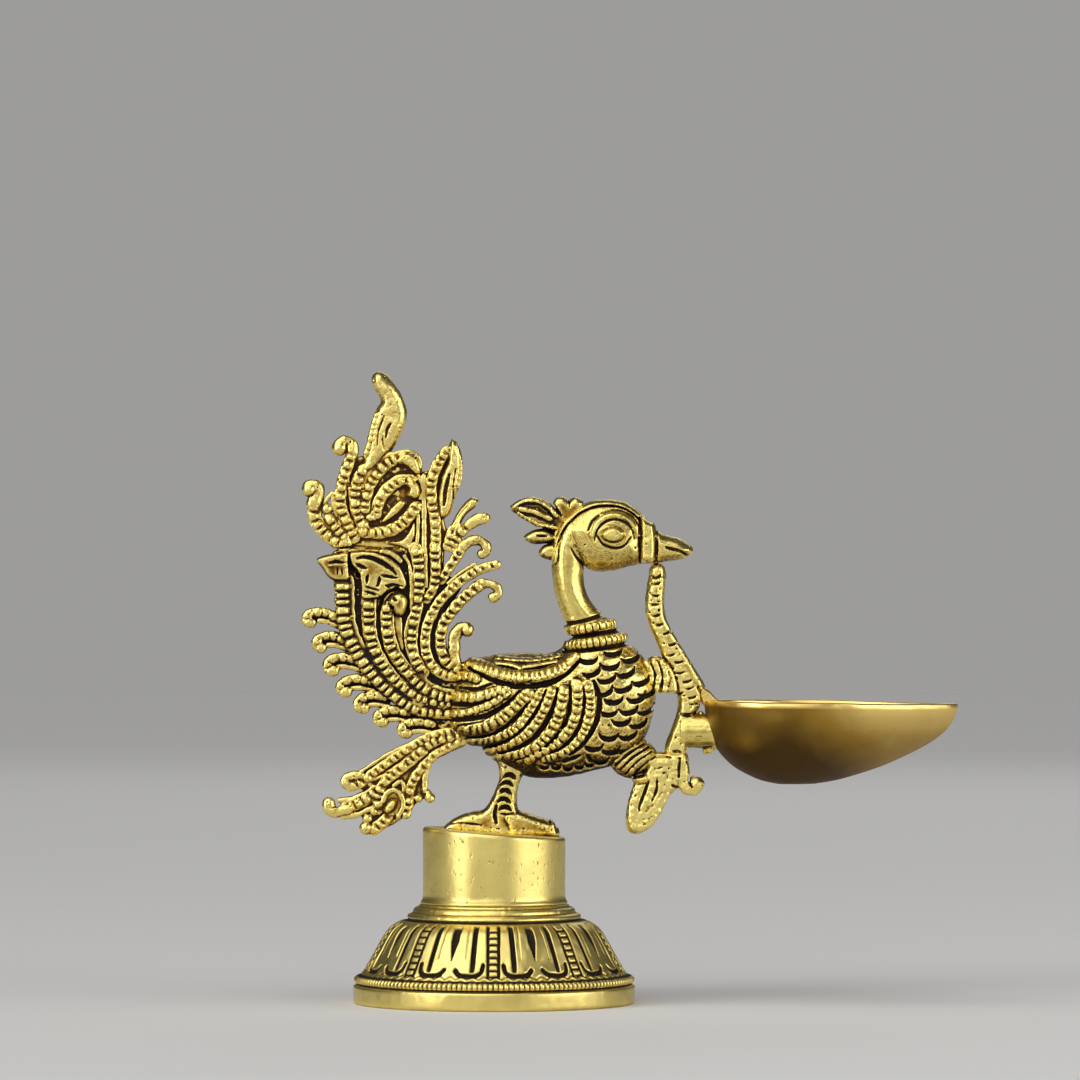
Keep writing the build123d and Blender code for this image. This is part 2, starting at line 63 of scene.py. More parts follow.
def nearest(line, u, v):
    """For places (u, v): distance from a line, distance run along it, the whole run, and which are left."""
    best = np.full(u.shape, 1e9)
    where = np.zeros(u.shape)
    left = np.zeros(u.shape, bool)
    run = 0.0
    for a, b in zip(line[:-1], line[1:]):
        ab = b - a
        size = float(np.hypot(*ab))
        if size < 1e-9:
            continue
        t = np.clip(((u - a[0]) * ab[0] + (v - a[1]) * ab[1]) / size**2, 0, 1)
        d = (u - a[0] - t * ab[0]) ** 2 + (v - a[1] - t * ab[1]) ** 2
        nearer = d < best
        best = np.where(nearer, d, best)
        where = np.where(nearer, run + t * size, where)
        left = np.where(nearer, ab[0] * (v - a[1]) > ab[1] * (u - a[0]), left)
        run += size
    return np.sqrt(best), where, run, left


def soft_min(a, b, k):
    """The lower of two fields, with the crease between them filled to radius k."""
    h = np.clip(0.5 + 0.5 * (b - a) / k, 0, 1)
    return b + (a - b) * h - k * h * (1 - h)


def bar_section(across, up, half_w, half_h):
    """Distance from a bar with a flattened, well rounded section, half_w wide and half_h high."""
    q = ((across / half_w) ** 2.3 + (up / half_h) ** 2.3) ** (1 / 2.3)
    return (q - 1) * np.minimum(half_w, half_h)


def rounded_edge(out, up, r):
    """A slab that ends at out = 0 and up = 0, with its corner rounded to r."""
    return np.sqrt(np.maximum(out + r, 0) ** 2 + np.maximum(up + r, 0) ** 2) - r


def box_blur(a, n):
    """A mean over 2n+1 cells along every axis, twice."""
    for _ in range(2):
        for axis in range(3):
            pad = [(0, 0)] * 3
            pad[axis] = (n + 1, n)
            s = np.cumsum(np.pad(a, pad, mode="edge"), axis=axis, dtype=np.float64)
            hi = np.take(s, range(2 * n + 1, s.shape[axis]), axis=axis)
            lo = np.take(s, range(0, s.shape[axis] - 2 * n - 1), axis=axis)
            a = ((hi - lo) / (2 * n + 1)).astype(np.float32)
    return a


def lattice_noise(shape, cell, rng):
    """Smooth noise in -1..1 that varies over about cell grid steps."""
    counts = [int(n / cell) + 3 for n in shape]
    grid = rng.uniform(-1, 1, counts).astype(np.float32)
    for axis, n in enumerate(shape):
        pos = np.arange(n) / cell
        i = pos.astype(int)
        t = pos - i
        t = (t * t * (3 - 2 * t)).astype(np.float32)
        form = [1, 1, 1]
        form[axis] = n
        t = t.reshape(form)
        grid = np.take(grid, i, axis=axis) * (1 - t) + np.take(grid, i + 1, axis=axis) * t
    return grid


class Casting:
    """A distance field over half a box, y >= 0, mirrored when meshed: metal is where it is negative."""

    def __init__(self, name, low, high, depth):
        self.name = name
        self.x = np.arange(low[0], high[0], STEP)
        self.z = np.arange(low[1], high[1], STEP)
        self.y = np.arange(0, depth, STEP)
        self.f = np.full((len(self.x), len(self.y), len(self.z)), FAR, np.float32)
        self.base = None

    def window(self, line, reach):
        """The cells of the box around a line, and their places."""
        lo = line.min(0) - reach
        hi = line.max(0) + reach
        ix = slice(*np.searchsorted(self.x, (lo[0], hi[0])))
        iz = slice(*np.searchsorted(self.z, (lo[1], hi[1])))
        return (ix, iz), *np.meshgrid(self.x[ix], self.z[iz], indexing="ij")

    def along(self, line, reach):
        """The cells near a line and what nearest() says of them."""
        win, gx, gz = self.window(line, reach)
        return win, *nearest(line, gx, gz)

    def inset(self, outline):
        """The cells near a closed outline and how deep inside it they lie."""
        line = smooth_line(outline, closed=True)
        win, gx, gz = self.window(line, FAR)
        d = nearest(line, gx, gz)[0]
        odd = np.zeros(gx.shape, bool)
        for a, b in zip(line[:-1], line[1:]):
            if a[1] == b[1]:
                continue
            span = (gz >= min(a[1], b[1])) & (gz < max(a[1], b[1]))
            odd ^= span & (gx < a[0] + (gz - a[1]) / (b[1] - a[1]) * (b[0] - a[0]))
        return win, np.where(odd, d, -d)

    def merge(self, win, g, k):
        """Adds the metal where g is negative."""
        part = self.f[win[0], :, win[1]]
        self.f[win[0], :, win[1]] = soft_min(part, g.astype(np.float32), k)

    def carve(self, win, g, k):
        """Takes away the metal where g is negative."""
        part = self.f[win[0], :, win[1]]
        self.f[win[0], :, win[1]] = -soft_min(-part, g.astype(np.float32), k)

    def pillow(self, outline, round_r, half_t, k=0.15):
        """A shape with this outline, half_t thick at the middle and rounded over round_r at its edge."""
        win, inset = self.inset(outline)
        across = 1 - np.minimum(inset / round_r, 1)
        y = np.abs(self.y)[None, :, None] / half_t
        q = np.sqrt(across[:, None, :] ** 2 + y**2)
        grad = np.sqrt((across[:, None, :] / round_r) ** 2 + (y / half_t) ** 2) / np.maximum(q, 1e-6)
        g = (q - 1) / np.maximum(grad, 0.5 / max(round_r, half_t))
        self.merge(win, np.clip(g, -FAR, FAR), k)

    def feather(self, points, r, k, cut, above, fold, strip, pitch=0.0, taper=(1.0, 1.0), border=(0.0, 0.0)):
        """A round bar notched across, on a lower strip that stands out to its left and right.

        above() is the height over the bar's axis, and fold() turns it into the height of the bar's section.
        strip is the strip's height, as a share of r, and its edge radius. border is how far it stands out.
        """
        win, d, s, run, left = self.along(smooth_line(points), r + max(border) + 0.8)
        # the width swells and the cuts are unevenly spaced, as in hand-modelled wax
        widths = taper if len(taper) == 3 else (taper[0], 1, taper[1])
        w = np.interp(s / run, (0, 0.5, 1), widths) * r * (1 + 0.05 * np.sin(2.3 * s + 5 * points[0][0]))
        h = above(win)
        if max(border):
            strip_rise, strip_edge = strip
            out = d - w - np.where(left, *border)
            self.merge(win, rounded_edge(out[:, None, :], h - strip_rise * r, strip_edge), 0.1)
        cuts = 0 * s
        if pitch:
            turn = (s + 0.2 * np.sin(1.3 * s + 3 * points[0][1])) / pitch
            cuts = cut * np.clip(1 - np.abs(turn - np.rint(turn)) * pitch / 0.52, 0, 1) ** 1.3
        bar_w = (w - 0.5 * cuts)[:, None, :]
        bar_h = (0.85 * w - cuts)[:, None, :]
        self.merge(win, bar_section(d[:, None, :], fold(h), bar_w, bar_h), k)

    def rope(self, points, r, y0, cut=0.55, k=0.1, **form):
        """A feather whose axis lies at y0."""
        up = (self.y - y0)[None, :, None]
        self.feather(points, r, k, cut, lambda win: up, lambda h: np.maximum(h, 0), (0.35, 0.28), **form)

    def ridge(self, points, r, lift=0.0, cut=0.35, k=0.12, **form):
        """A feather laid on the surface kept by mark()."""
        def above(win):
            return self.base[win[0], :, win[1]] - lift

        self.feather(points, r, k, cut, above, np.abs, (0.3, 0.25), **form)

    def ball(self, x, z, r, y0, k=0.2):
        """A round knob that goes right through the casting."""
        win, d, _, _, _ = self.along(np.array([(x, z), (x + 0.01, z)]), r + 0.8)
        y = np.maximum(self.y - y0, 0)[None, :, None]
        self.merge(win, np.sqrt(d[:, None, :] ** 2 + y**2) - r, k)

    def groove(self, points, r, k=0.1, taper=(0.7, 0.7)):
        """A line cut into the surface kept by mark(), deeper than wide and narrower towards its ends."""
        win, d, s, run, _ = self.along(smooth_line(points), r + 0.6)
        w = np.interp(s / run, (0, 0.3, 0.7, 1), (taper[0], 1, 1, taper[1])) * r
        h = self.base[win[0], :, win[1]] / 1.5
        self.carve(win, np.sqrt(d[:, None, :] ** 2 + h**2) - w[:, None, :], k)

    def pits(self, places, r, length=0.05):
        """Punched dots, cut into the surface kept by mark()."""
        for x, z in places:
            self.groove([(x, z), (x + length, z)], r)

    def mark(self):
        """Keeps the surface as it is now, for grooves and ridges that follow it."""
        self.base = self.f.copy()

    def swell(self, x, z, half, rise):
        """Raises a small dome on the surface."""
        win, gx, gz = self.window(np.array([(x, z), (x, z)]), 2.5 * half)
        dome = rise * np.exp(-((gx - x) ** 2 + (gz - z) ** 2) / half**2)
        self.f[win[0], :, win[1]] -= dome.astype(np.float32)[:, None, :]

    def rough(self, seed, coarse=0.05, fine=0.03, pits=0.0):
        """The uneven skin of a sand casting, with a few blow holes."""
        rng = np.random.default_rng(seed)
        self.f += coarse * lattice_noise(self.f.shape, 1.4 / STEP, rng)
        self.f += fine * lattice_noise(self.f.shape, 0.5 / STEP, rng)
        if pits:
            self.f += pits * np.clip(lattice_noise(self.f.shape, 0.55 / STEP, rng) - 0.6, 0, 0.4)

    def mesh(self):
        """The casting as a mesh with a 'recess' attribute: 0 on proud edges, 0.5 on flats, 1 in grooves."""
        f = np.concatenate([self.f[:, :0:-1, :], self.f], axis=1)
        origin = np.array([self.x[0], -self.y[-1], self.z[0]])
        cells, quads = without_specks(*surface_net(f))
        filled = np.clip(0.5 - f / (2 * STEP), 0, 1)
        near = box_blur(filled, round(NEAR_BLUR / STEP))
        wide = box_blur(filled, round(WIDE_BLUR / STEP))
        i = np.clip(np.rint(cells).astype(int), 0, np.array(f.shape) - 1)
        recess = 0.48 + 1.6 * (near[tuple(i.T)] - 0.5) + 0.9 * (wide[tuple(i.T)] - 0.5)
        return new_mesh(self.name, (origin + cells * STEP) * MM, recess, quads)


def surface_net(f):
    """Points, in grid steps, and four-sided faces of the surface where f changes sign."""
    solid = f < 0
    count = np.zeros([n - 1 for n in f.shape], np.int8)
    corners = [(i, j, k) for i in (0, 1) for j in (0, 1) for k in (0, 1)]
    for i, j, k in corners:
        count += solid[i : f.shape[0] - 1 + i, j : f.shape[1] - 1 + j, k : f.shape[2] - 1 + k]
    mixed = (count > 0) & (count < 8)
    cell = np.argwhere(mixed)
    total = np.zeros((len(cell), 3))
    hits = np.zeros(len(cell))
    for a in corners:
        for axis in range(3):
            if a[axis]:
                continue
            b = list(a)
            b[axis] = 1
            fa = f[tuple((cell + a).T)]
            fb = f[tuple((cell + b).T)]
            crosses = (fa < 0) != (fb < 0)
            t = np.where(crosses, fa / np.where(crosses, fa - fb, 1), 0)
            p = np.array(a, float) + t[:, None] * (np.array(b) - a)
            total += p * crosses[:, None]
            hits += crosses
    points = cell + total / hits[:, None]
    number = np.full(mixed.shape, -1)
    number[mixed] = np.arange(len(cell))
    quads = []
    for axis in range(3):
        u, v = [a for a in range(3) if a != axis]
        lo = [slice(None)] * 3
        hi = [slice(None)] * 3
        lo[axis] = slice(0, -1)
        hi[axis] = slice(1, None)
        change = solid[tuple(lo)] != solid[tuple(hi)]
        at = np.argwhere(change)
        at = at[(at[:, u] > 0) & (at[:, v] > 0) & (at[:, u] < f.shape[u] - 1) & (at[:, v] < f.shape[v] - 1)]
        ring = []
        for du, dv in ((-1, -1), (0, -1), (0, 0), (-1, 0)):
            c = at.copy()
            c[:, u] += du
            c[:, v] += dv
            ring.append(number[tuple(c.T)])
        ring = np.stack(ring, 1)
        flip = solid[tuple(at.T)] == (axis == 1)
        ring[flip] = ring[flip][:, ::-1]
        quads.append(ring)
    return points, np.vstack(quads)


def without_specks(points, quads, least=200):
    """Leaves out the loose grains, of fewer than least points, that the rough skin sheds."""
    label = np.arange(len(points))
    settled = False
    while not settled:
        lowest = label[quads].min(1)
        joined = label.copy()
        for corner in quads.T:
            np.minimum.at(joined, label[corner], lowest)
        joined = joined[joined]
        settled = np.array_equal(joined, label)
        label = joined
    keep = np.bincount(label, minlength=len(points))[label] >= least
    return points[keep], (np.cumsum(keep) - 1)[quads[keep[quads[:, 0]]]]


def linked(name, data):
    """A new object in the scene."""
    ob = bpy.data.objects.new(name, data)
    bpy.context.scene.collection.objects.link(ob)
    return ob


def new_mesh(name, points, recess, *faces):
    """A smooth-shaded object from an array of points, how recessed each is (on the oil bowl, also painted
    light and shade), and arrays of faces.
    """
    me = bpy.data.meshes.new(name)
    me.vertices.add(len(points))
    me.vertices.foreach_set("co", np.asarray(points, np.float32).ravel())
    corners = np.concatenate([f.ravel() for f in faces]).astype(np.int32)
    sizes = np.concatenate([np.full(len(f), f.shape[1], np.int32) for f in faces])
    me.loops.add(len(corners))
    me.loops.foreach_set("vertex_index", corners)
    me.polygons.add(len(sizes))
    me.polygons.foreach_set("loop_start", np.cumsum(sizes, dtype=np.int32) - sizes)
    me.polygons.foreach_set("use_smooth", np.ones(len(sizes), bool))
    me.update(calc_edges=True)
    me.validate()
    layer = me.attributes.new("recess", "FLOAT", "POINT")
    layer.data.foreach_set("value", np.clip(recess, 0, 1).astype(np.float32))
    return linked(name, me)


def ring_faces(rows, cols, closed):
    """Four-sided faces between rows of points, each row a ring. closed joins the last row to the first."""
    i, j = np.meshgrid(np.arange(rows if closed else rows - 1), np.arange(cols), indexing="ij")
    up = (i + 1) % rows
    on = (j + 1) % cols
    return np.stack([i * cols + j, i * cols + on, up * cols + on, up * cols + j], 2).reshape(-1, 4)


# ---------------------------------------------------------------- the bird's tail
BEAD_PITCH = 1.5  # spacing of the cuts across a feather
WEB_Y = 0.95  # half thickness of the plate behind the feathers
ROPE_Y = 1.35  # height of a feather's axis
FEATHERS = [
    # half width at root and tip, border to the left and right of the way it grows, points from root to tip
    (0.78, 1.42, (0.1, 0.95), [(-6.5, 54.2), (-10, 54.2), (-13.2, 54.5), (-15.8, 55.5), (-18, 57),
        (-20.4, 59), (-22.4, 61), (-24.2, 63.4), (-26, 66.2), (-27.4, 69), (-28.2, 72), (-28.4, 75.5),
        (-28.5, 78.8)]),
    (0.7, 1.16, (0.15, 0.45), [(-7.6, 55.9), (-11, 56.2), (-14.5, 57.4), (-16.8, 58.9), (-18.9, 60.8),
        (-20.6, 62.9), (-22.2, 65.6), (-23.2, 68.4), (-23.6, 71.4), (-23.6, 75.4)]),
    (0.98, 0.95, (0.15, 0.5), [(-0.5, 58.6), (-3, 57.6), (-6.4, 57), (-9.6, 57.3), (-12.7, 58.6),
        (-15.2, 60.7), (-17.4, 63.4), (-19.1, 66), (-19.9, 68.6), (-20.2, 71.6), (-20.2, 74)]),
    (0.8, 0.92, (0.3, 0.3), [(-13.2, 62), (-14.5, 63.9), (-15.3, 66), (-15.4, 68.4), (-15.1, 71.4),
        (-14.5, 74), (-14.1, 77.4), (-14, 80.6), (-14.2, 83), (-14.8, 85.2)]),
    (0.82, 0.72, (0.2, 0.2), [(-2.6, 61.8), (-5.6, 61.3), (-8.6, 61.4), (-10.6, 62.2), (-12.2, 64.3),
        (-12.9, 67), (-12.7, 70), (-11.8, 72.6), (-10.2, 75.4), (-8, 77.6), (-5.4, 79.7), (-2.4, 81.4),
        (0.4, 82.2)]),
    (0.85, 0.98, (0.15, 0.1), [(-4.6, 63.1), (-6.6, 62.6), (-8.6, 63.6), (-9.7, 65.8), (-10, 68.4),
        (-9.5, 71), (-8.2, 73), (-6.2, 75.4), (-3.8, 77.5), (-2.2, 78.6)]),
    (0.72, 0.85, (0.15, 0.15), [(-9.8, 79.3), (-8.8, 80.9), (-7.7, 82.7), (-6.4, 84.6)]),
    (0.78, 1.0, (0.1, 0.1), [(-12.6, 75.6), (-11.4, 77.8), (-11, 80.5), (-11, 83), (-11.1, 85.6)]),
]
HOOKS = [
    [(-29.2, 71.9), (-31.2, 73.1), (-33.2, 73.3), (-34.7, 72.9), (-35.1, 71.8), (-34.3, 71.3)],
    [(-27.6, 67.8), (-29.6, 68.7), (-31.6, 68.8), (-32.9, 68.2), (-33.3, 67.1), (-32.4, 66.6)],
    [(-25.9, 64.2), (-27.8, 64.8), (-29.8, 64.7), (-31.1, 63.8), (-31.1, 62.6), (-30.1, 62.3)],
    [(-23.4, 60.3), (-25.4, 60.8), (-27.2, 60.6), (-28.6, 59.7), (-28.7, 58.6), (-27.7, 58.4)],
    [(-20.6, 57.3), (-22.4, 57.7), (-24.2, 57.4), (-25.4, 56.5), (-25.4, 55.5), (-24.4, 55.3)],
    [(-16.2, 54.4), (-18.4, 54.9), (-20.4, 54.7), (-21.7, 53.9), (-21.7, 52.9), (-20.8, 52.7)],
    [(-11.6, 52.3), (-13.8, 52.7), (-15.8, 52.5), (-17.1, 51.7), (-17.2, 50.8), (-16.3, 50.6)],
]
HOOK_R = 0.98
HOOK_LINE = ((0.9, -1.8), (0.3, -1.7), (0.5, -1.6))


def tail_fan():
    c = Casting("tail_fan", (-37.5, 48.5), (4, 88.5), 3.6)
    c.pillow([(-5, 50), (-12, 52.2), (-17.5, 55.2), (-21.5, 58.2), (-25, 62.2), (-27.8, 67), (-29.4, 72),
        (-29.7, 78), (-30, 81), (-30, 84.8), (-24, 85.7), (-17, 85.8), (-13.4, 85.6), (-9.6, 85.2),
        (-9.4, 81.4), (-8, 79.8), (-5.8, 78.8), (-7.2, 76), (-9, 73.4), (-9.9, 70), (-9.7, 66),
        (-8.6, 63.9), (-7, 63.6), (-4, 64.4), (-2, 63), (-1.5, 56)], 0.5, WEB_Y)
    for root_r, tip_r, border, points in FEATHERS:
        taper = (root_r, (root_r + tip_r) / 2, tip_r)
        c.rope(points, 1.0, ROPE_Y, pitch=BEAD_PITCH, border=border, taper=taper)
    for points in HOOKS:
        c.rope(points, HOOK_R, ROPE_Y - 0.3, pitch=1.7, cut=0.24, taper=(0.9, 0.95, 1.08))
        # a smooth line below the hook, and a plate between them
        c.rope([(x + dx, z + dz) for (x, z), (dx, dz) in zip(points, HOOK_LINE)], 0.5, 1.0)
        c.rope([(x + 0.4, z - 0.85) for x, z in points[:4]], 0.85, 0.0)
    # smooth curled ends of the branch and of the innermost feather
    c.rope([(-5.8, 85.6), (-4.4, 86.6), (-2.8, 86.7), (-1.6, 85.8), (-1.5, 84.7), (-2.3, 84.2)], 0.95,
        ROPE_Y - 0.1)
    c.rope([(-2.2, 78.6), (-0.6, 78.6), (0.6, 77.8), (0.8, 76.6), (0, 76)], 0.85, ROPE_Y - 0.1)
    c.ball(-0.2, 76, 1.0, 1.1)
    # the first feather's blunt head
    c.pillow([(-33.3, 83.2), (-31.4, 84), (-29, 84.4), (-27.3, 84.5), (-27.1, 82), (-26.9, 79.6), (-28, 79),
        (-30, 79.2), (-31.2, 80), (-32.2, 81.5)], 0.6, 2.6)
    # plate of the arched cap, with the lens, the leaf ends and two bars left standing on it
    c.pillow([(-27, 84.4), (-24.4, 84.7), (-21.8, 84.2), (-19.7, 83.3), (-17.9, 82), (-16.9, 80.2),
        (-16.4, 78.2), (-17, 77.3), (-18.6, 77.5), (-20.6, 76.4), (-22.4, 75.7), (-24.8, 75.8), (-25, 78.2),
        (-25.6, 80.8), (-26.8, 82.2)], 0.5, 2.25)
    c.rope([(-26.6, 83.9), (-24.4, 84.2), (-21.6, 83.7), (-19, 82.3), (-17.6, 80.6), (-16.9, 78.4)], 0.5,
        1.95, taper=(0.5, 1.0, 0.9))
    c.rope([(-21, 84.6), (-19, 84.1), (-17.6, 82.9)], 0.6, 1.0)
    # the third feather's comma head
    c.pillow([(-20, 75.4), (-18.8, 76.9), (-17.2, 77), (-16.1, 75.8), (-16.1, 74), (-17, 72.4),
        (-18.4, 72.6), (-19.2, 73.8)], 1.2, 2.9)
    c.pillow([(-18.9, 72.6), (-17.2, 72.6), (-16.9, 69.6), (-16.7, 66.2), (-17.5, 66), (-18.5, 69)], 0.5,
        1.5)
    # the small curl that stands on the bird's back
    c.rope([(-7.3, 63.4), (-7.5, 66), (-7.4, 68.6), (-6.4, 70.2), (-5.2, 70.3)], 1.15, 1.0)
    c.ball(-5, 69.9, 1.25, 1.0)
    # thin smooth lines between the feathers
    for points in (
        [(-14.6, 62.4), (-12.4, 60.3), (-9.6, 58.9), (-6.6, 58.4)],
        [(-12.7, 78), (-12.7, 80), (-12.8, 85.2)],
        [(-15.6, 74), (-15.5, 78.4), (-15.6, 80.4), (-15.9, 82.2), (-16.8, 83.8)],
        [(-16.3, 66.4), (-16.6, 69.4), (-15.9, 72.4)],
        [(-18, 66.4), (-18.9, 69.4), (-19, 72)],
        [(-8.6, 78.7), (-6.4, 80.6), (-3.6, 82.3)],
        [(-4, 60), (-1.4, 59.6), (1.4, 60.4)],
    ):
        c.rope(points, 0.33, ROPE_Y + 0.05)
    c.mark()
    for r, points in (
        (0.34, [(-31, 82.4), (-29.6, 82.7), (-28, 82.5)]),
        (0.2, [(-29.3, 81.6), (-29.3, 80.2)]),
        (0.2, [(-28.5, 81.6), (-28.4, 80)]),
        (0.26, [(-27.2, 83.4), (-26.9, 82.2), (-26.2, 80.9)]),
        (0.5, [(-25.8, 80.6), (-25.1, 79.9)]),
        # round the lens
        (0.44, [(-25.8, 83.35), (-24.4, 83.6), (-22.8, 83.4), (-20.9, 82.55), (-19.3, 81.45),
            (-18.3, 80.3)]),
        (0.36, [(-26, 82.4), (-24.8, 81.85), (-23.7, 81.4)]),
        # beside the stem under it, round the right leaf end and above and below the bar
        (0.34, [(-23.5, 80.4), (-23.8, 79.5), (-23.8, 78.6)]),
        (0.32, [(-21.4, 79.9), (-21.5, 79.1), (-21.9, 78.2)]),
        (0.32, [(-21.1, 80.2), (-19.7, 79.95), (-18.1, 79.65)]),
        (0.52, [(-20.3, 78.2), (-18.9, 78.2), (-17.2, 78)]),
        (0.2, [(-24.3, 78.2), (-22.8, 77.7), (-21.4, 77.3)]),
        (0.26, [(-24.4, 77.2), (-22.8, 76.8), (-21.4, 76.3)]),
        (0.38, [(-21.6, 73.2), (-20.9, 75.9), (-19.8, 77.2), (-18.4, 77.6), (-17, 77.3)]),
        (0.36, [(-19, 76.1), (-18.4, 75.5), (-18.2, 75.4)]),
        (0.3, [(-19.2, 74.6), (-18.8, 73.8)]),
        (0.3, [(-6.8, 84.5), (-6.4, 84.0)]),
        (0.34, [(-29.8, 85.2), (-26, 85.4), (-21, 85.3), (-17.6, 85.2)]),
    ):
        c.groove(points, r, taper=(0.4, 0.4))
    for points in HOOKS:
        c.pits(points[1:4:2], 0.2, 0.1)
    c.rough(11, pits=0.5)
    return c


PLUMES = [
    (0.98, (0.15, 0.15), [(-26.2, 87.2), (-27.4, 89.8), (-28.6, 92.8), (-28.7, 96), (-28, 99),
        (-27.1, 101.6), (-26.5, 103.6)]),
    (1.0, (0.15, 0.5), [(-28, 85.6), (-30.4, 86.9), (-32.5, 88.8), (-33.8, 91), (-33.8, 93.4)]),
    (0.9, (0.1, 0.1), [(-27.2, 86.7), (-28.5, 87.8), (-30.1, 89.6), (-30.9, 91)]),
    (1.0, (0.1, 0.3), [(-24.4, 88.8), (-25.6, 91.4), (-26.1, 94.4), (-25.8, 97.4), (-24.6, 100)]),
    (0.96, (0.5, 0.1), [(-24.2, 91.3), (-24, 94), (-23.1, 97.2), (-21.5, 99.6), (-19.5, 101.4),
        (-17.2, 102.3), (-15.3, 102), (-14.8, 101)]),
    (0.88, (0.45, 0.1), [(-22, 91.6), (-21.4, 94), (-19.8, 96.3), (-17.6, 97.8), (-15.6, 97.8)]),
    (1.08, (0.1, 0.1), [(-25.2, 88.5), (-23, 88.1), (-20.6, 88.3), (-18.2, 89.2), (-16.2, 90.9),
        (-14.6, 93)]),
    (0.92, (0.15, 0.15), [(-10.9, 84.6), (-10.9, 88), (-11.1, 91), (-11.6, 94), (-11.8, 97), (-11.2, 99.6),
        (-10.2, 101.6), (-8.9, 103.4)]),
    (0.85, (0.15, 0.1), [(-8.7, 85.6), (-8, 88), (-7, 89.4)]),
]


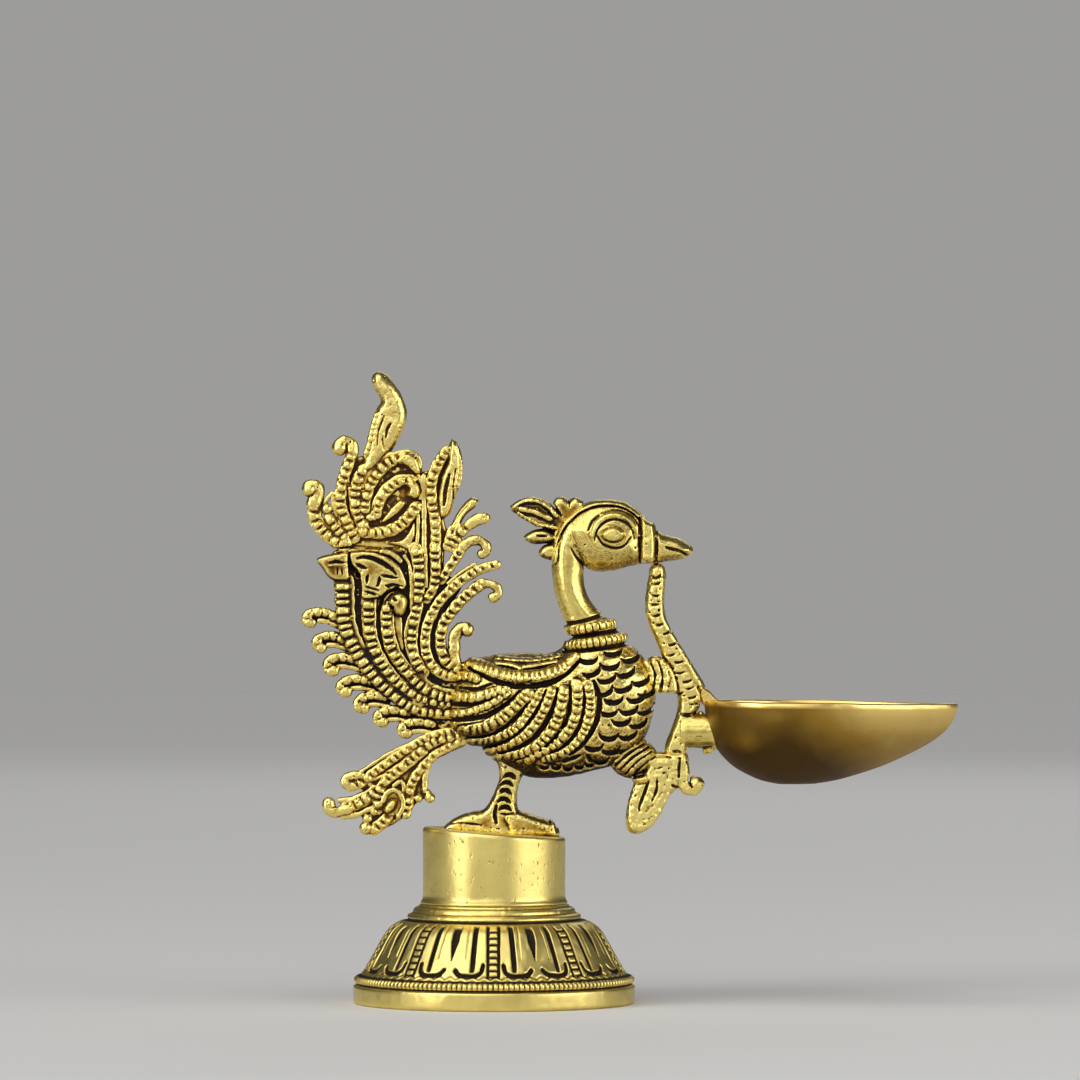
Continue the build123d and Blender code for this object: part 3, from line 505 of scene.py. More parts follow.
def tail_plumes():
    c = Casting("tail_plumes", (-38, 83), (1, 119.5), 3.6)
    c.pillow([(-29.6, 84.9), (-31.6, 88.6), (-29.6, 92), (-28.8, 96), (-27.6, 101.4), (-24.5, 102.6),
        (-21.5, 103.5), (-18.6, 102.6), (-15.8, 101), (-14.2, 99), (-13, 99.8), (-11.4, 99), (-10, 94),
        (-9.2, 90), (-8.2, 85.2), (-14, 84.4), (-22, 85)], 0.5, WEB_Y)
    # tall plume: a beaded stem beside a smooth blade
    c.pillow([(-25.4, 99), (-24.5, 102), (-23.6, 105.4), (-23, 108.6), (-22, 111.4), (-21.2, 112.8),
        (-21.9, 114.2), (-22.9, 116), (-22.8, 117.6), (-21.6, 118.3), (-20, 117.6), (-17.9, 115),
        (-16.5, 111.6), (-16.5, 109), (-17.4, 106.6), (-18.9, 104), (-20.4, 102), (-22.6, 99.6)], 1.7, 2.1)
    c.rope([(-23.9, 102.6), (-23.2, 105), (-22.6, 107.6), (-21.9, 110)], 0.72, 1.35, pitch=1.2, cut=0.25)
    for r, border, points in PLUMES:
        c.rope(points, r, ROPE_Y, pitch=BEAD_PITCH, border=border, taper=(0.9, 0.97))
    # smooth curled ends
    for r, points in (
        (1.1, [(-26.5, 103.2), (-26.7, 104.8), (-28, 105.3), (-29.1, 104.6)]),
        (1.35, [(-33.8, 93.6), (-33.1, 95.4), (-33.5, 96.8), (-34.6, 96.8)]),
    ):
        c.rope(points, r, 1.15)
    for x, z, r in ((-29, 104, 1.4), (-34.6, 96.3, 1.45), (-31.3, 92.6, 1.05), (-24.4, 89.6, 1.05),
            (-23.2, 91, 0.8), (-27.6, 86.4, 0.85)):
        c.ball(x, z, r, 1.25)
    # blunt ends of the two feathers that arch to the right
    c.pillow([(-18.6, 101.2), (-17.8, 102.8), (-15.7, 103.2), (-14.2, 102.1), (-13.5, 99.6), (-14.5, 98.9),
        (-15.7, 99.8), (-16.7, 100.6)], 0.9, 2.5)
    c.pillow([(-16.8, 97.4), (-15.2, 98.3), (-13.8, 97), (-13.8, 94.9), (-15.2, 94.4), (-16.5, 95.2),
        (-16.1, 96.3)], 0.9, 2.5)
    # smooth lines and small leaves between the curls
    for points in (
        [(-33, 91), (-31.6, 94), (-30.4, 95.6)],
        [(-30.2, 95.4), (-30, 92.6), (-28.8, 89.6)],
        [(-27.4, 99), (-27, 95), (-26.4, 91.6)],
        [(-32.6, 90.2), (-30.6, 88), (-28.6, 86)],
        [(-23.6, 99.2), (-21.4, 101.8), (-19.4, 103)],
        [(-14.3, 99), (-13.6, 97), (-13.8, 94.6)],
    ):
        c.rope(points, 0.36, 1.3)
    c.pillow([(-21.4, 90.1), (-19.7, 92.6), (-17.7, 94.5), (-16.3, 93.9), (-17.3, 92.2), (-18.9, 90.9),
        (-20.3, 90)], 0.8, 1.8)
    c.pillow([(-20.6, 86.4), (-17.6, 86.9), (-16.2, 88.3), (-14.9, 90.6), (-14.6, 88), (-15.2, 86.4),
        (-16, 84.9), (-17.8, 85.6)], 0.6, 1.9)
    c.rope([(-13.1, 84.6), (-13.1, 92), (-13.2, 98.8)], 0.5, 1.25)
    c.rope([(-14.6, 85), (-14.3, 88), (-14.2, 91.6)], 0.34, 1.3)
    # pointed leaf
    c.pillow([(-10.2, 91), (-10.7, 94.5), (-10, 98.5), (-8.9, 101.4), (-8.6, 104), (-7.7, 105.8),
        (-6.3, 103.5), (-5.9, 100.4), (-6.4, 97.6), (-7.3, 94.6), (-8.4, 91.6)], 1.1, 2.1)
    c.rope([(-6.7, 96.8), (-6.3, 99.2), (-6.4, 101.6), (-7.2, 104.2)], 0.4, 1.6, pitch=0.9, cut=0.12)
    c.rope([(-10.8, 91), (-10.6, 95), (-9.6, 99.4), (-8.4, 102.8)], 0.9, 0.1)
    # folded leaf and blunt feather on the right
    c.pillow([(-8.4, 86.6), (-8.2, 89), (-7.2, 91.4), (-5.8, 93.4), (-4.2, 94.8), (-3, 94.4), (-3.4, 93),
        (-5.2, 91.6), (-6.4, 89.4), (-7.2, 86.6)], 0.8, 2.0)
    c.rope([(-8, 85.2), (-6.6, 87.6), (-5.2, 89.2), (-3.8, 90.2)], 0.98, 1.3, pitch=BEAD_PITCH)
    c.rope([(-4.2, 90), (-3, 90.7), (-1.8, 90.9)], 1.12, 1.15)
    c.mark()
    c.groove([(-21.9, 104.4), (-21.7, 107), (-20.6, 110)], 0.22)
    c.groove([(-20.3, 106), (-20, 107.6), (-19.3, 108.6)], 0.3)
    c.groove([(-20.6, 103.6), (-20.9, 105.4), (-20.6, 107)], 0.18)
    c.groove([(-9.4, 93.4), (-9.1, 96), (-8.4, 99)], 0.42)
    c.groove([(-7.6, 94), (-7.6, 97), (-7.2, 100)], 0.22)
    c.groove([(-7.8, 88), (-6.6, 91), (-4.6, 93.6)], 0.25)
    c.groove([(-29.8, 85.2), (-26, 85.5), (-21, 85.2), (-17.6, 85.2)], 0.3)
    c.pits([(-21.9, 110.9), (-21, 110.2), (-16.7, 102.2), (-14.8, 102.2), (-15.3, 100.4), (-33, 96.6),
        (-26.9, 105.2), (-17, 98), (-1.9, 90.9), (-22.4, 116.8), (-20.6, 117.3)], 0.25)
    c.rough(12, pits=0.5)
    return c


LOWER_PLUMES = [
    (0.8, (0.1, 0.2), [(-6, 50.9), (-10.5, 50.4), (-14.5, 48.6), (-18.5, 46), (-22.5, 43.2), (-25, 41.2),
        (-27, 40.6)]),
    (0.88, (0.1, 0.2), [(-6, 50), (-11, 48.9), (-15, 46.1), (-18, 43.6), (-20.6, 41.2), (-21.7, 38.6),
        (-21.5, 36.4)]),
    (0.78, (0.1, 0.2), [(-6, 49.1), (-10.5, 46.9), (-13.4, 44.1), (-15.4, 41), (-15.9, 38), (-16.5, 35.4)]),
    (0.92, (0.3, 0.5), [(-22.2, 39.6), (-24, 38.3), (-26, 37.2), (-28, 36.4)]),
    (0.9, (0.2, 0.3), [(-19.8, 35), (-21.2, 33.5), (-22.6, 32.5)]),
]


def lower_plume():
    c = Casting("lower_plume", (-34, 30), (-3, 53), 3.8)
    c.pillow([(-4.6, 48.8), (-5, 51.4), (-10, 51), (-17, 47.8), (-24, 43.8), (-26.2, 41.2), (-24.6, 39.6),
        (-26.8, 37.4), (-24.6, 34.6), (-23, 32.4), (-19.4, 33.2), (-16.5, 35.2), (-14.2, 37.8),
        (-12.1, 38.8), (-12.4, 42), (-12, 44.8), (-8.6, 46.8)], 0.6, 1.2)
    for r, border, points in LOWER_PLUMES:
        c.rope(points, r, ROPE_Y, pitch=BEAD_PITCH, border=border, taper=(0.85, 1.0))
    c.rope([(-26.6, 40.6), (-27.8, 41.2), (-27.7, 42.2), (-26.2, 42.6), (-25, 42.6)], 0.9, 1.2)
    c.rope([(-27.4, 36.3), (-29.6, 35.9), (-31, 36.6), (-31, 37.4)], 1.15, 1.2, taper=(0.9, 1.05))
    c.rope([(-28.9, 38), (-26.4, 38.4), (-24.6, 39.2)], 0.5, 1.2)
    c.rope([(-28.3, 34.9), (-25.6, 35.4), (-22.7, 36.6)], 0.55, 1.3)
    c.rope([(-12.3, 45), (-12.9, 42), (-12.8, 40), (-11.7, 38.4)], 0.62, 1.2)
    c.rope([(-25, 43.4), (-19.6, 46.8), (-13.6, 49.7)], 0.32, 1.3)
    c.rope([(-12.6, 47), (-16, 44.2), (-19.4, 41.6)], 0.32, 1.5)
    c.rope([(-22.6, 40.6), (-23.6, 41.4), (-21, 42.6), (-17.8, 44.8)], 0.34, 1.3)
    # eye of the lower fan: an oval boss inside a wrapped rim
    c.pillow([(-20.8, 37.8), (-20, 39.6), (-18.4, 39.8), (-17.2, 38.4), (-17.3, 36), (-18.6, 34.8),
        (-20.8, 35.6)], 0.5, 1.8)
    c.pillow([(-20.9, 36.1), (-20.4, 37.4), (-19.2, 38.4), (-18.2, 38.3), (-18.1, 37.3), (-18.8, 36),
        (-20, 35.4)], 0.9, 2.9)
    c.rope([(-20.8, 37.9), (-20.2, 39.3), (-19, 40), (-17.9, 39.6), (-17.1, 38.2), (-17.1, 36.6),
        (-18, 35)], 0.45, 1.7)
    c.rope([(-18.8, 40.8), (-17.4, 41.6), (-16.8, 40.2), (-17, 38.6)], 0.45, 1.3)
    for x, z, r in ((-24, 32.8, 1.25), (-23.7, 34.6, 1.0), (-12.1, 38.5, 0.95), (-14.2, 38.4, 0.8),
            (-22.6, 35.8, 0.8), (-18, 34.8, 0.6)):
        c.ball(x, z, r, 1.1)
    c.mark()
    c.pits([(-24, 32.3), (-31.2, 37.7), (-26.8, 36.9), (-25.6, 37.5), (-26.3, 42.5)], 0.26)
    c.groove([(-30.6, 36.6), (-29.4, 36.9), (-28.6, 37.4)], 0.2)
    c.groove([(-12.2, 43), (-12.2, 40.6), (-12.9, 39.2)], 0.22)
    c.rough(13, pits=0.5)
    return c


# ---------------------------------------------------------------- the bird's body
WING_FEATHERS = [  # half width, notch pitch, points from root to tip
    (1.25, 1.3, [(-5.8, 51), (-2, 51.6), (1, 53.3), (4, 56), (6.4, 58.3)]),
    (0.86, 1.2, [(-4.5, 48.9), (0, 49.6), (4, 51.6), (7, 55.3), (8.9, 58.8)]),
    (0.9, 1.3, [(-1, 47.2), (3.5, 48.9), (7.2, 51.9), (9.7, 56), (10.6, 58.6)]),
    (1.0, 1.35, [(0.5, 46.2), (5.3, 46.9), (9.2, 49.4), (12, 53.8), (13.1, 58.6)]),
    (1.02, 1.4, [(6.5, 45.8), (11.5, 48.8), (14.5, 52.5), (15.6, 57), (15.4, 59.8)]),
    (0.88, 1.2, [(8.5, 45.5), (13.5, 47.3), (16.9, 51), (18, 56), (17.6, 59.8)]),
]
SCALES = [  # the lowest point of each breast feather, and how far it leans
    (17.5, 63.9, 0), (22.3, 65.3, 8), (25.8, 64.2, 20), (21.7, 62.8, 5), (24.9, 61.5, 20), (21.3, 60.4, 18),
    (27.7, 60.0, 20), (18.6, 61.7, 25), (20.9, 58.0, 25), (24.3, 58.7, 15), (22.4, 56.4, 5),
    (26.9, 56.8, 20), (25.3, 54.5, 12), (21.3, 54.1, 0), (23.8, 52.4, 5), (27.2, 52.0, 20), (21.4, 49.6, 0),
    (25.2, 49.8, 15), (18.6, 47.6, 0), (21.8, 47.0, 5), (24.4, 47.2, 10), (19.7, 45.2, 0), (28.9, 57.8, 25),
    (28.7, 54.6, 25),
]


def scale_arc(x, z, tilt, half=1.8, sag=1.05):
    """The U-shaped lower edge of a breast feather."""
    a = radians(tilt)
    arc = [(-half, sag), (-half * 0.7, sag * 0.3), (0, 0), (half * 0.7, sag * 0.3), (half, sag)]
    return [(x + u * cos(a) - w * sin(a), z + u * sin(a) + w * cos(a)) for u, w in arc]


def bird_torso():
    c = Casting("bird_torso", (-10, 40), (32.5, 73), 9.6)
    c.pillow([(-8.4, 52), (-8, 57), (-6.8, 61), (-5.6, 64), (-3, 64.7), (1, 65.4), (5, 65.7), (10, 65.6),
        (12.6, 66.6), (13.6, 68.5), (16, 70.4), (20, 71.5), (23.2, 70.6), (24.8, 68.2), (26.2, 66.5),
        (28.2, 64.4), (29.8, 61.2), (30.2, 58), (29.9, 55), (28.8, 51), (27, 47.8), (24.4, 45.8),
        (22, 44.5), (19, 43.7), (15, 42.7), (11, 42.2), (7, 42.3), (4, 43.4), (1, 45), (-1, 46.6), (-3, 48),
        (-5.4, 49.3)], 9.0, 7.9)
    for x, z, tilt in SCALES:
        c.swell(x, z + 1.1, 1.5, 0.42)
    c.mark()
    # folded wing
    for r, pitch, points in WING_FEATHERS:
        c.ridge(points, r, pitch=pitch, cut=0.38, taper=(0.75, 0.9), border=(0.16, 0.16), lift=0.15)
    c.ridge([(-8, 54.3), (-5, 54.7), (-3, 55.3), (0, 56.6), (2.6, 58.3)], 0.78, pitch=1.3, cut=0.25,
        lift=0.1)
    # feathers of the back
    c.ridge([(-4, 63.8), (-1, 62.8), (3.5, 61.5), (8.5, 61.6), (12.5, 63), (14.6, 64.8)], 1.12, pitch=1.1,
        cut=0.25, border=(0.1, 0.15), lift=0.1)
    c.ridge([(0.4, 64.9), (4, 64.5), (8, 64.5), (12, 65.2)], 0.45, pitch=1.4, cut=0.15)
    c.ridge([(0.2, 63.9), (3, 63.6), (5, 62.9)], 0.4)
    c.ridge([(5.6, 63.1), (8.4, 63.6), (11.6, 64.2)], 0.4)
    c.ridge([(-7.6, 57.6), (-3.6, 57.5), (0, 58.4), (2.2, 59.2)], 1.05, pitch=1.4, cut=0.3, lift=0.15)
    c.ridge([(-7.6, 61.4), (-5, 61.4), (-3.4, 61)], 0.95, pitch=1.3, cut=0.3, lift=0.1)
    for x, z in ((14.4, 61), (16.2, 62.2), (16.8, 60.2), (19, 60.4), (20.2, 64.2), (15.2, 65.4),
            (12.4, 59.6)):
        c.swell(x, z, 0.8, 0.3)
    # engraved lines
    c.groove([(-4.6, 62.9), (-1.6, 61.3), (2, 59.8), (6, 59.4), (10, 60), (13.4, 61.7), (15.8, 64.2)], 0.5)
    c.groove([(-8, 53.2), (-5, 53.3), (-1, 54.2), (2.6, 56.3), (5.2, 58.9)], 0.5)
    c.groove([(-6.4, 59.2), (-3.2, 59), (-1, 59.8), (0.6, 60.2)], 0.3)
    c.groove([(-8, 56), (-4.4, 56.1), (-1, 57)], 0.35)
    c.groove([(18.6, 60.4), (19.6, 58), (19.6, 55), (18.8, 52.2), (16.6, 48.8), (14.2, 46.8)], 0.5)
    for points in (
        [(-5.5, 49.9), (-2, 50.1), (1, 51.3), (3.5, 53.3), (5.6, 55.6), (7.6, 58.7)],
        [(-2.8, 47.9), (0.5, 48.3), (3.6, 50.1), (6, 52.3), (8.2, 55.4), (9.7, 58.8)],
        [(0, 46.5), (3.5, 47.7), (6.8, 49.5), (9.2, 51.9), (10.9, 55), (11.9, 58.9)],
        [(4, 45.8), (7.5, 46.9), (10.8, 49.2), (12.9, 51.7), (14.2, 55), (14.3, 59.4)],
        [(9.6, 46.7), (13, 48.3), (15.4, 51), (16.4, 53.6), (16.9, 57), (16.6, 59.8)],
    ):
        c.groove(points, 0.36)
    for x, z in ((9.4, 44.2), (11.6, 44.1), (13.8, 43.9), (15.9, 44.2), (17.8, 44.6)):
        c.groove(scale_arc(x, z, 0, 0.9, 0.7), 0.4, taper=(0.4, 0.4))
    c.groove([(0.4, 63.3), (3, 62.9), (5, 62)], 0.24)
    c.groove([(5.6, 62.6), (8.6, 62.9), (12, 63.9)], 0.24)
    for x, z, tilt in SCALES:
        c.groove(scale_arc(x, z, tilt), 0.5, taper=(0.35, 0.35))
    for a, b in (((9.4, 45.2), (12, 44.6)), ((13, 45.4), (16, 46.6)), ((17.4, 46.6), (18.2, 45.2))):
        c.groove([a, b], 0.4)
    c.groove([(13.2, 66), (19, 66.5), (25.6, 67.5)], 0.55, taper=(1, 1))
    c.groove([(13.6, 68.4), (19, 69.15), (24.6, 70.1)], 0.5, taper=(1, 1))
    c.rough(21, pits=0.4)
    return c


def ring_band(c, centre, tilt, half_x, half_y, r, beads):
    """A string of barrel beads round the neck, as an elliptical ring seen nearly edge on."""
    a = radians(tilt)
    gx, gz = np.meshgrid(c.x - centre[0], c.z - centre[1], indexing="ij")
    u = (gx * cos(a) + gz * sin(a))[:, None, :]
    v = np.abs(gz * cos(a) - gx * sin(a))[:, None, :]
    y = c.y[None, :, None]
    out = (np.sqrt((u / half_x) ** 2 + (y / half_y) ** 2) - 1) * min(half_x, half_y)
    phase = np.arctan2(y / half_y, u / half_x) * beads / 2
    cuts = 0.4 * (1 - np.minimum(np.abs(np.sin(phase)) / 0.5, 1))
    band = bar_section(v, np.maximum(out, 0), r - 0.4 * cuts, r - cuts)
    c.f = soft_min(c.f, band.astype(np.float32), 0.1)


def necklace():
    c = Casting("necklace", (11.5, 64.5), (27, 74), 8.4)
    ring_band(c, (18.4, 70.45), 10.5, 3.6, 4.2, 1.0, 20)
    ring_band(c, (19.1, 67.75), 8.5, 5.1, 6.4, 1.0, 30)
    c.rough(26, 0.03, 0.03)
    return c


def neck_and_head():
    c = Casting("neck_and_head", (9, 68), (38.5, 96), 6)
    c.pillow([(13.4, 91), (12, 88.6), (11, 85.3), (10.8, 82.3), (11, 79), (11.7, 75.5), (12.9, 72.2),
        (13.6, 69.2), (18, 68.6), (22, 70), (21, 72.3), (18.9, 74.3), (17.5, 76.4), (16.8, 79), (16.9, 82),
        (17.5, 86), (16.5, 90)], 2.9, 3.5, k=0.2)
    c.pillow([(12.6, 89), (14, 91), (16, 92.5), (18, 93.7), (20.5, 94.1), (23, 93.9), (25.2, 93.2),
        (27.2, 91.5), (28.6, 90.2), (29, 86.4), (28.4, 82.8), (25, 81.8), (22, 81), (19, 80.9), (17, 81.6),
        (15.4, 83), (14, 85)], 5.6, 4.8, k=0.5)
    c.mark()
    # band at the root of the beak, and the beak
    c.pillow([(27.3, 91.1), (28.9, 90.5), (30.2, 89.6), (30.5, 86), (30.2, 82.8), (28.7, 82.4),
        (27.2, 82.9), (27.1, 87)], 1.1, 4.6, k=0.1)
    c.pillow([(29.6, 89.1), (32, 87.9), (34.6, 87.2), (36.3, 86.3), (37.3, 85.2), (37.1, 84.1),
        (35.6, 83.3), (33, 82.9), (29.6, 82.7), (29.2, 86)], 2.0, 3.7, k=0.1)
    c.ridge([(30.4, 88.4), (32.6, 87.2), (35, 86.4), (36.6, 85)], 0.4, lift=-0.1)
    # hood, brow and eye
    c.ridge([(11.2, 83), (11.5, 86), (12.4, 88.6), (13.8, 90.7), (16, 92.6), (19.5, 93.8), (23.4, 93.7),
        (26, 92.5), (28, 90.8)], 0.62, lift=0.12)
    c.ridge([(18.5, 87.6), (19.2, 89.7), (20.8, 91.1), (22.8, 91.5), (25, 90.9), (26.6, 89.2),
        (27.1, 87.6)], 0.5)
    c.pillow([(19.4, 87.9), (20.5, 89.2), (22.3, 89.8), (24.1, 89.3), (25.1, 88), (24.2, 86.4),
        (22.3, 85.8), (20.4, 86.4)], 1.3, 5.65, k=0.12)
    c.mark()
    c.groove([(10.9, 82.2), (11.4, 84.6), (12.6, 87.9), (14.2, 90.2), (16.6, 92.1), (19.4, 93.1),
        (23, 93.1), (25.6, 92), (27.4, 90.4)], 0.2)
    c.groove([(27.3, 91.2), (27.1, 87.5), (27.3, 82.6)], 0.16, taper=(1, 1))
    c.groove([(30.4, 89.9), (30.6, 86.5), (30.4, 82.4)], 0.16, taper=(1, 1))
    c.groove([(32.2, 85.4), (33.4, 85.1), (34.8, 84.7), (36.4, 83.9)], 0.34)
    c.groove([(18.8, 86.6), (19.2, 88.5), (20.6, 90), (22.5, 90.6), (24.5, 90.1), (25.8, 88.7), (26.2, 87)],
        0.22)
    c.groove([(19.3, 87.5), (20.4, 86), (22.5, 85.3), (24.3, 85.7), (25.6, 87.3)], 0.28)
    c.groove([(17.6, 88.6), (18.3, 90.2), (19.6, 91.4)], 0.26)
    c.groove([(20, 91.8), (22.4, 92.4), (24.8, 91.9), (26.4, 90.7), (27.2, 89)], 0.2)
    c.groove([(14.4, 85.2), (15.3, 83.7), (16.8, 82), (17.6, 81)], 0.24)
    c.groove([(12.6, 71.1), (15, 71.3), (18, 72), (21, 73)], 0.42, taper=(1, 1))
    c.pits([(17, 85.9), (26.4, 85.3), (22, 83.2), (28.3, 87.4), (28.4, 86), (34, 86.8)], 0.24)
    c.rough(22, 0.035, 0.02)
    return c


def crest():
    c = Casting("crest", (1.5, 82), (18, 97), 3)
    c.pillow([(3, 92.6), (4.5, 94.2), (7, 95), (9.5, 94.4), (11.4, 93.1), (13.5, 91), (12.4, 88.8),
        (10, 88.5), (7.5, 89.6), (5, 91.2)], 1.3, 2.0)
    c.pillow([(5.5, 87.3), (7.4, 88.7), (9.6, 88.9), (11.6, 88), (13, 87.6), (11.6, 86.4), (9.4, 86.1),
        (7.2, 86.1)], 1.2, 1.9)
    c.pillow([(8.3, 84.1), (9.1, 85.7), (10.6, 86.2), (12.4, 86.4), (12.4, 83.4), (10.4, 83)], 1.1, 1.8)
    c.pillow([(11, 93.6), (11.8, 94.8), (13.2, 94.9), (14, 94.3), (15.2, 94.9), (16.6, 94.2), (16.8, 92.6),
        (14.4, 90), (12, 91.2)], 1.1, 2.0)
    c.pillow([(11.0, 88.6), (11.3, 84.4), (13.4, 84.4), (14.6, 89), (15.8, 92.4), (12.6, 92.2)], 0.8, 1.9)
    c.mark()
    # the big leaf's fold and veins
    c.ridge([(5, 92.6), (7.6, 92), (10.4, 90.8)], 0.5)
    c.ridge([(3.4, 93), (5.4, 94.1), (8, 94.2), (10.2, 93), (11.6, 91.4)], 0.42, pitch=1.2, cut=0.12,
        lift=0.1)
    c.ridge([(4.6, 91.6), (6.6, 90.5), (9, 89.3), (11.4, 89.1)], 0.42, pitch=1.1, cut=0.15, lift=0.1)
    c.mark()
    c.groove([(4.6, 93.1), (6.4, 93.5), (8.2, 93.3)], 0.16)
    c.groove([(8.2, 93.3), (9.6, 92.6), (10.8, 91.4), (11.6, 90.6)], 0.17)
    c.groove([(5.4, 91.8), (7.2, 91.2), (9.4, 90.3), (11.2, 90)], 0.12)
    c.groove([(8, 87.6), (10, 87.5)], 0.26)
    c.groove([(10.8, 93.6), (11.6, 92.8), (12.4, 91.8)], 0.24)
    c.groove([(14.1, 94.4), (14.1, 93)], 0.2)
    c.groove([(7.8, 89.1), (9.4, 89.1), (11, 88.6)], 0.2)
    c.rough(23, pits=0.4)
    return c


DRUM_TOP = 32.1
DRUM_FALL = 0.075


def standing_leg():
    c = Casting("standing_leg", (-10.5, 30.5), (14, 49), 4.4)
    # shank, spreading at the belly and into the web between the toes
    c.pillow([(0.0, 47.2), (0.7, 44.6), (1.0, 42.6), (0.6, 40.8), (-0.4, 38.6), (-1.6, 36.6), (-3.4, 35),
        (-3.6, 31.4), (5, 31.2), (5.2, 34.6), (4.5, 36.4), (4.3, 38.6), (4.7, 41), (5.6, 43), (7.4, 44.6),
        (6.8, 47)], 1.0, 2.4)
    # front toe with its claw, and back toe
    c.pillow([(1.6, 36), (4.4, 36.2), (7.4, 35.3), (9.8, 34.5), (11.2, 34.3), (11.9, 33.4), (12, 31),
        (8, 30.8), (3, 31)], 1.6, 2.9)
    c.pillow([(-0.4, 36), (-2, 36.2), (-4.6, 35.8), (-6.8, 35), (-8.8, 33.6), (-9.4, 32.4), (-6, 31.6),
        (0, 31.6)], 1.5, 2.4)
    c.mark()
    for x, z in ((2.9, 42.6), (2.4, 41.2), (2.1, 39.7), (1.9, 38.1), (2.1, 36.6)):
        c.groove([(x - 1.25, z - 0.35), (x - 0.5, z + 0.2), (x + 0.4, z + 0.2), (x + 1.2, z - 0.5)], 0.46,
            taper=(0.45, 0.45))
    for x in (10.2, 11.1):
        c.groove([(x - 0.2, 34.7), (x + 0.5, 33.4), (x + 0.6, 32.2)], 0.24)
    c.groove([(0.6, 37.8), (0.3, 36.4), (0.1, 35.2), (0.4, 33.9)], 0.4, k=0.3, taper=(0.3, 0.6))
    c.groove([(1.2, 35.6), (2.4, 35.4), (3.6, 35.7)], 0.2)
    c.groove([(-8.4, 33.7), (-5.4, 33.8), (-2.4, 33.4)], 0.18, k=0.2)
    # the toes end on the drum's sloping top
    gx, gz = np.meshgrid(c.x, c.z, indexing="ij")
    c.f = np.maximum(c.f, ((DRUM_TOP - DRUM_FALL * gx) - gz).astype(np.float32)[:, None, :])
    c.rough(24, 0.05, 0.05, pits=0.6)
    return c


def raised_leg():
    c = Casting("raised_leg", (19.5, 39.5), (33, 52), 4.6)
    c.pillow([(21.4, 46.4), (22.4, 43.7), (23.8, 42.6), (25.6, 42.1), (27.2, 42.8), (29.6, 44.8),
        (30.6, 46.8), (28.6, 49.2), (25, 51)], 2.8, 3.6)
    c.pillow([(25.9, 42.8), (26.2, 41.2), (27.4, 40.6), (28.8, 41), (29.4, 42.2), (28.6, 43.4)], 1.3, 3.0)
    c.mark()
    bands = (((22.0, 45.6), (27.0, 48.9)), ((22.8, 44.7), (28.1, 48.6)), ((23.6, 43.8), (28.9, 48.0)),
        ((24.6, 43.0), (29.5, 47.2)), ((25.9, 42.4), (30.2, 46.2)))
    for a, b in bands:
        mid = ((a[0] + b[0]) / 2 - 0.25, (a[1] + b[1]) / 2 + 0.25)
        c.groove([a, mid, b], 0.23, taper=(1, 1))
    c.groove([(26, 42.4), (27.6, 42.6), (29.4, 43.8)], 0.3)
    c.rough(25, pits=0.4)
    return c


# ---------------------------------------------------------------- vine, leaf and socket
def vine_stem():
    c = Casting("vine_stem", (25.5, 45), (42, 84), 4.2)
    c.pillow([(30.4, 82.6), (29.2, 81.6), (29, 79.9), (28.5, 77), (28.3, 74), (28.9, 71), (30, 68.3),
        (31.4, 65.2), (33, 61), (34.4, 57.4), (34.3, 54.8), (33.2, 51.4), (32, 48), (32.4, 46.2),
        (35.2, 46), (36.4, 47.6), (37, 50.4), (38.2, 54), (39.1, 57), (39.5, 59.4), (37.9, 62.2),
        (36, 65.2), (34.4, 67.9), (33, 70.4), (32.1, 72.8), (31.9, 76), (32.2, 80), (31.7, 82)], 1.3, 2.25)
    c.pillow([(26.4, 63.6), (28.6, 64.5), (30.6, 65.1), (33.5, 63), (34.6, 58.4), (32, 58.1), (29, 58.2),
        (26.6, 58.6)], 0.9, 2.9)
    c.mark()
    for points in ([(28.4, 64), (29.4, 61.5), (28.9, 58.8)], [(29.8, 64.5), (30.8, 61.6), (30.4, 58.6)],
            [(31.4, 64.2), (32.2, 61.4), (31.9, 58.6)]):
        c.ridge(points, 0.55, pitch=1.6, cut=0.12, lift=0.1)
    # the rolled right-hand edge
    c.ridge([(31.4, 79.4), (31.2, 76), (31.4, 72.6), (32.6, 70), (34.2, 67.3), (36, 64.4), (37.6, 61.6),
        (38.6, 59.8)], 0.5)
    c.mark()
    c.groove([(29.5, 80.1), (30.3, 79.6), (31.1, 80.2)], 0.3)
    for x, z, lean in ((30.3, 78.6, 0.1), (30.1, 76.6, -0.1), (30, 74.8, 0), (30.2, 72.6, 0.1),
            (30.9, 70.9, 0.1), (32.4, 69.1, 0.4), (33.3, 67.1, 0.2), (33, 65.2, 0.1), (34.6, 63.9, 0.1),
            (34.8, 61.9, 0.1), (36.2, 60.2, 0.2), (36.6, 58.9, 0.2), (37.2, 57.2, 0.2), (37.4, 56, 0.2)):
        c.groove([(x - 0.75, z), (x, z + lean - 0.15), (x + 0.75, z + 2 * lean)], 0.26)
    for x, z in ((29.2, 76.8), (29, 73.2), (29.4, 75.4), (30.8, 73.6), (29.8, 71.2), (31, 77.6),
            (31.8, 67.4), (33.4, 62.6), (35.6, 57.6), (36.6, 52), (34, 49.8), (35, 48.6)):
        c.groove([(x, z), (x + 0.1, z + 0.1)], 0.28)
    c.groove([(35, 54.2), (36.4, 54), (38, 54.6)], 0.42)
    c.groove([(38.2, 59), (39, 57.6), (38.9, 55.6), (38.4, 54.4)], 0.42)
    c.groove([(34.4, 57.8), (35.6, 58.4)], 0.24)
    c.groove([(33.4, 47.3), (35.2, 47.1)], 0.34)
    c.rough(31, 0.07, 0.06, pits=1.0)
    return c


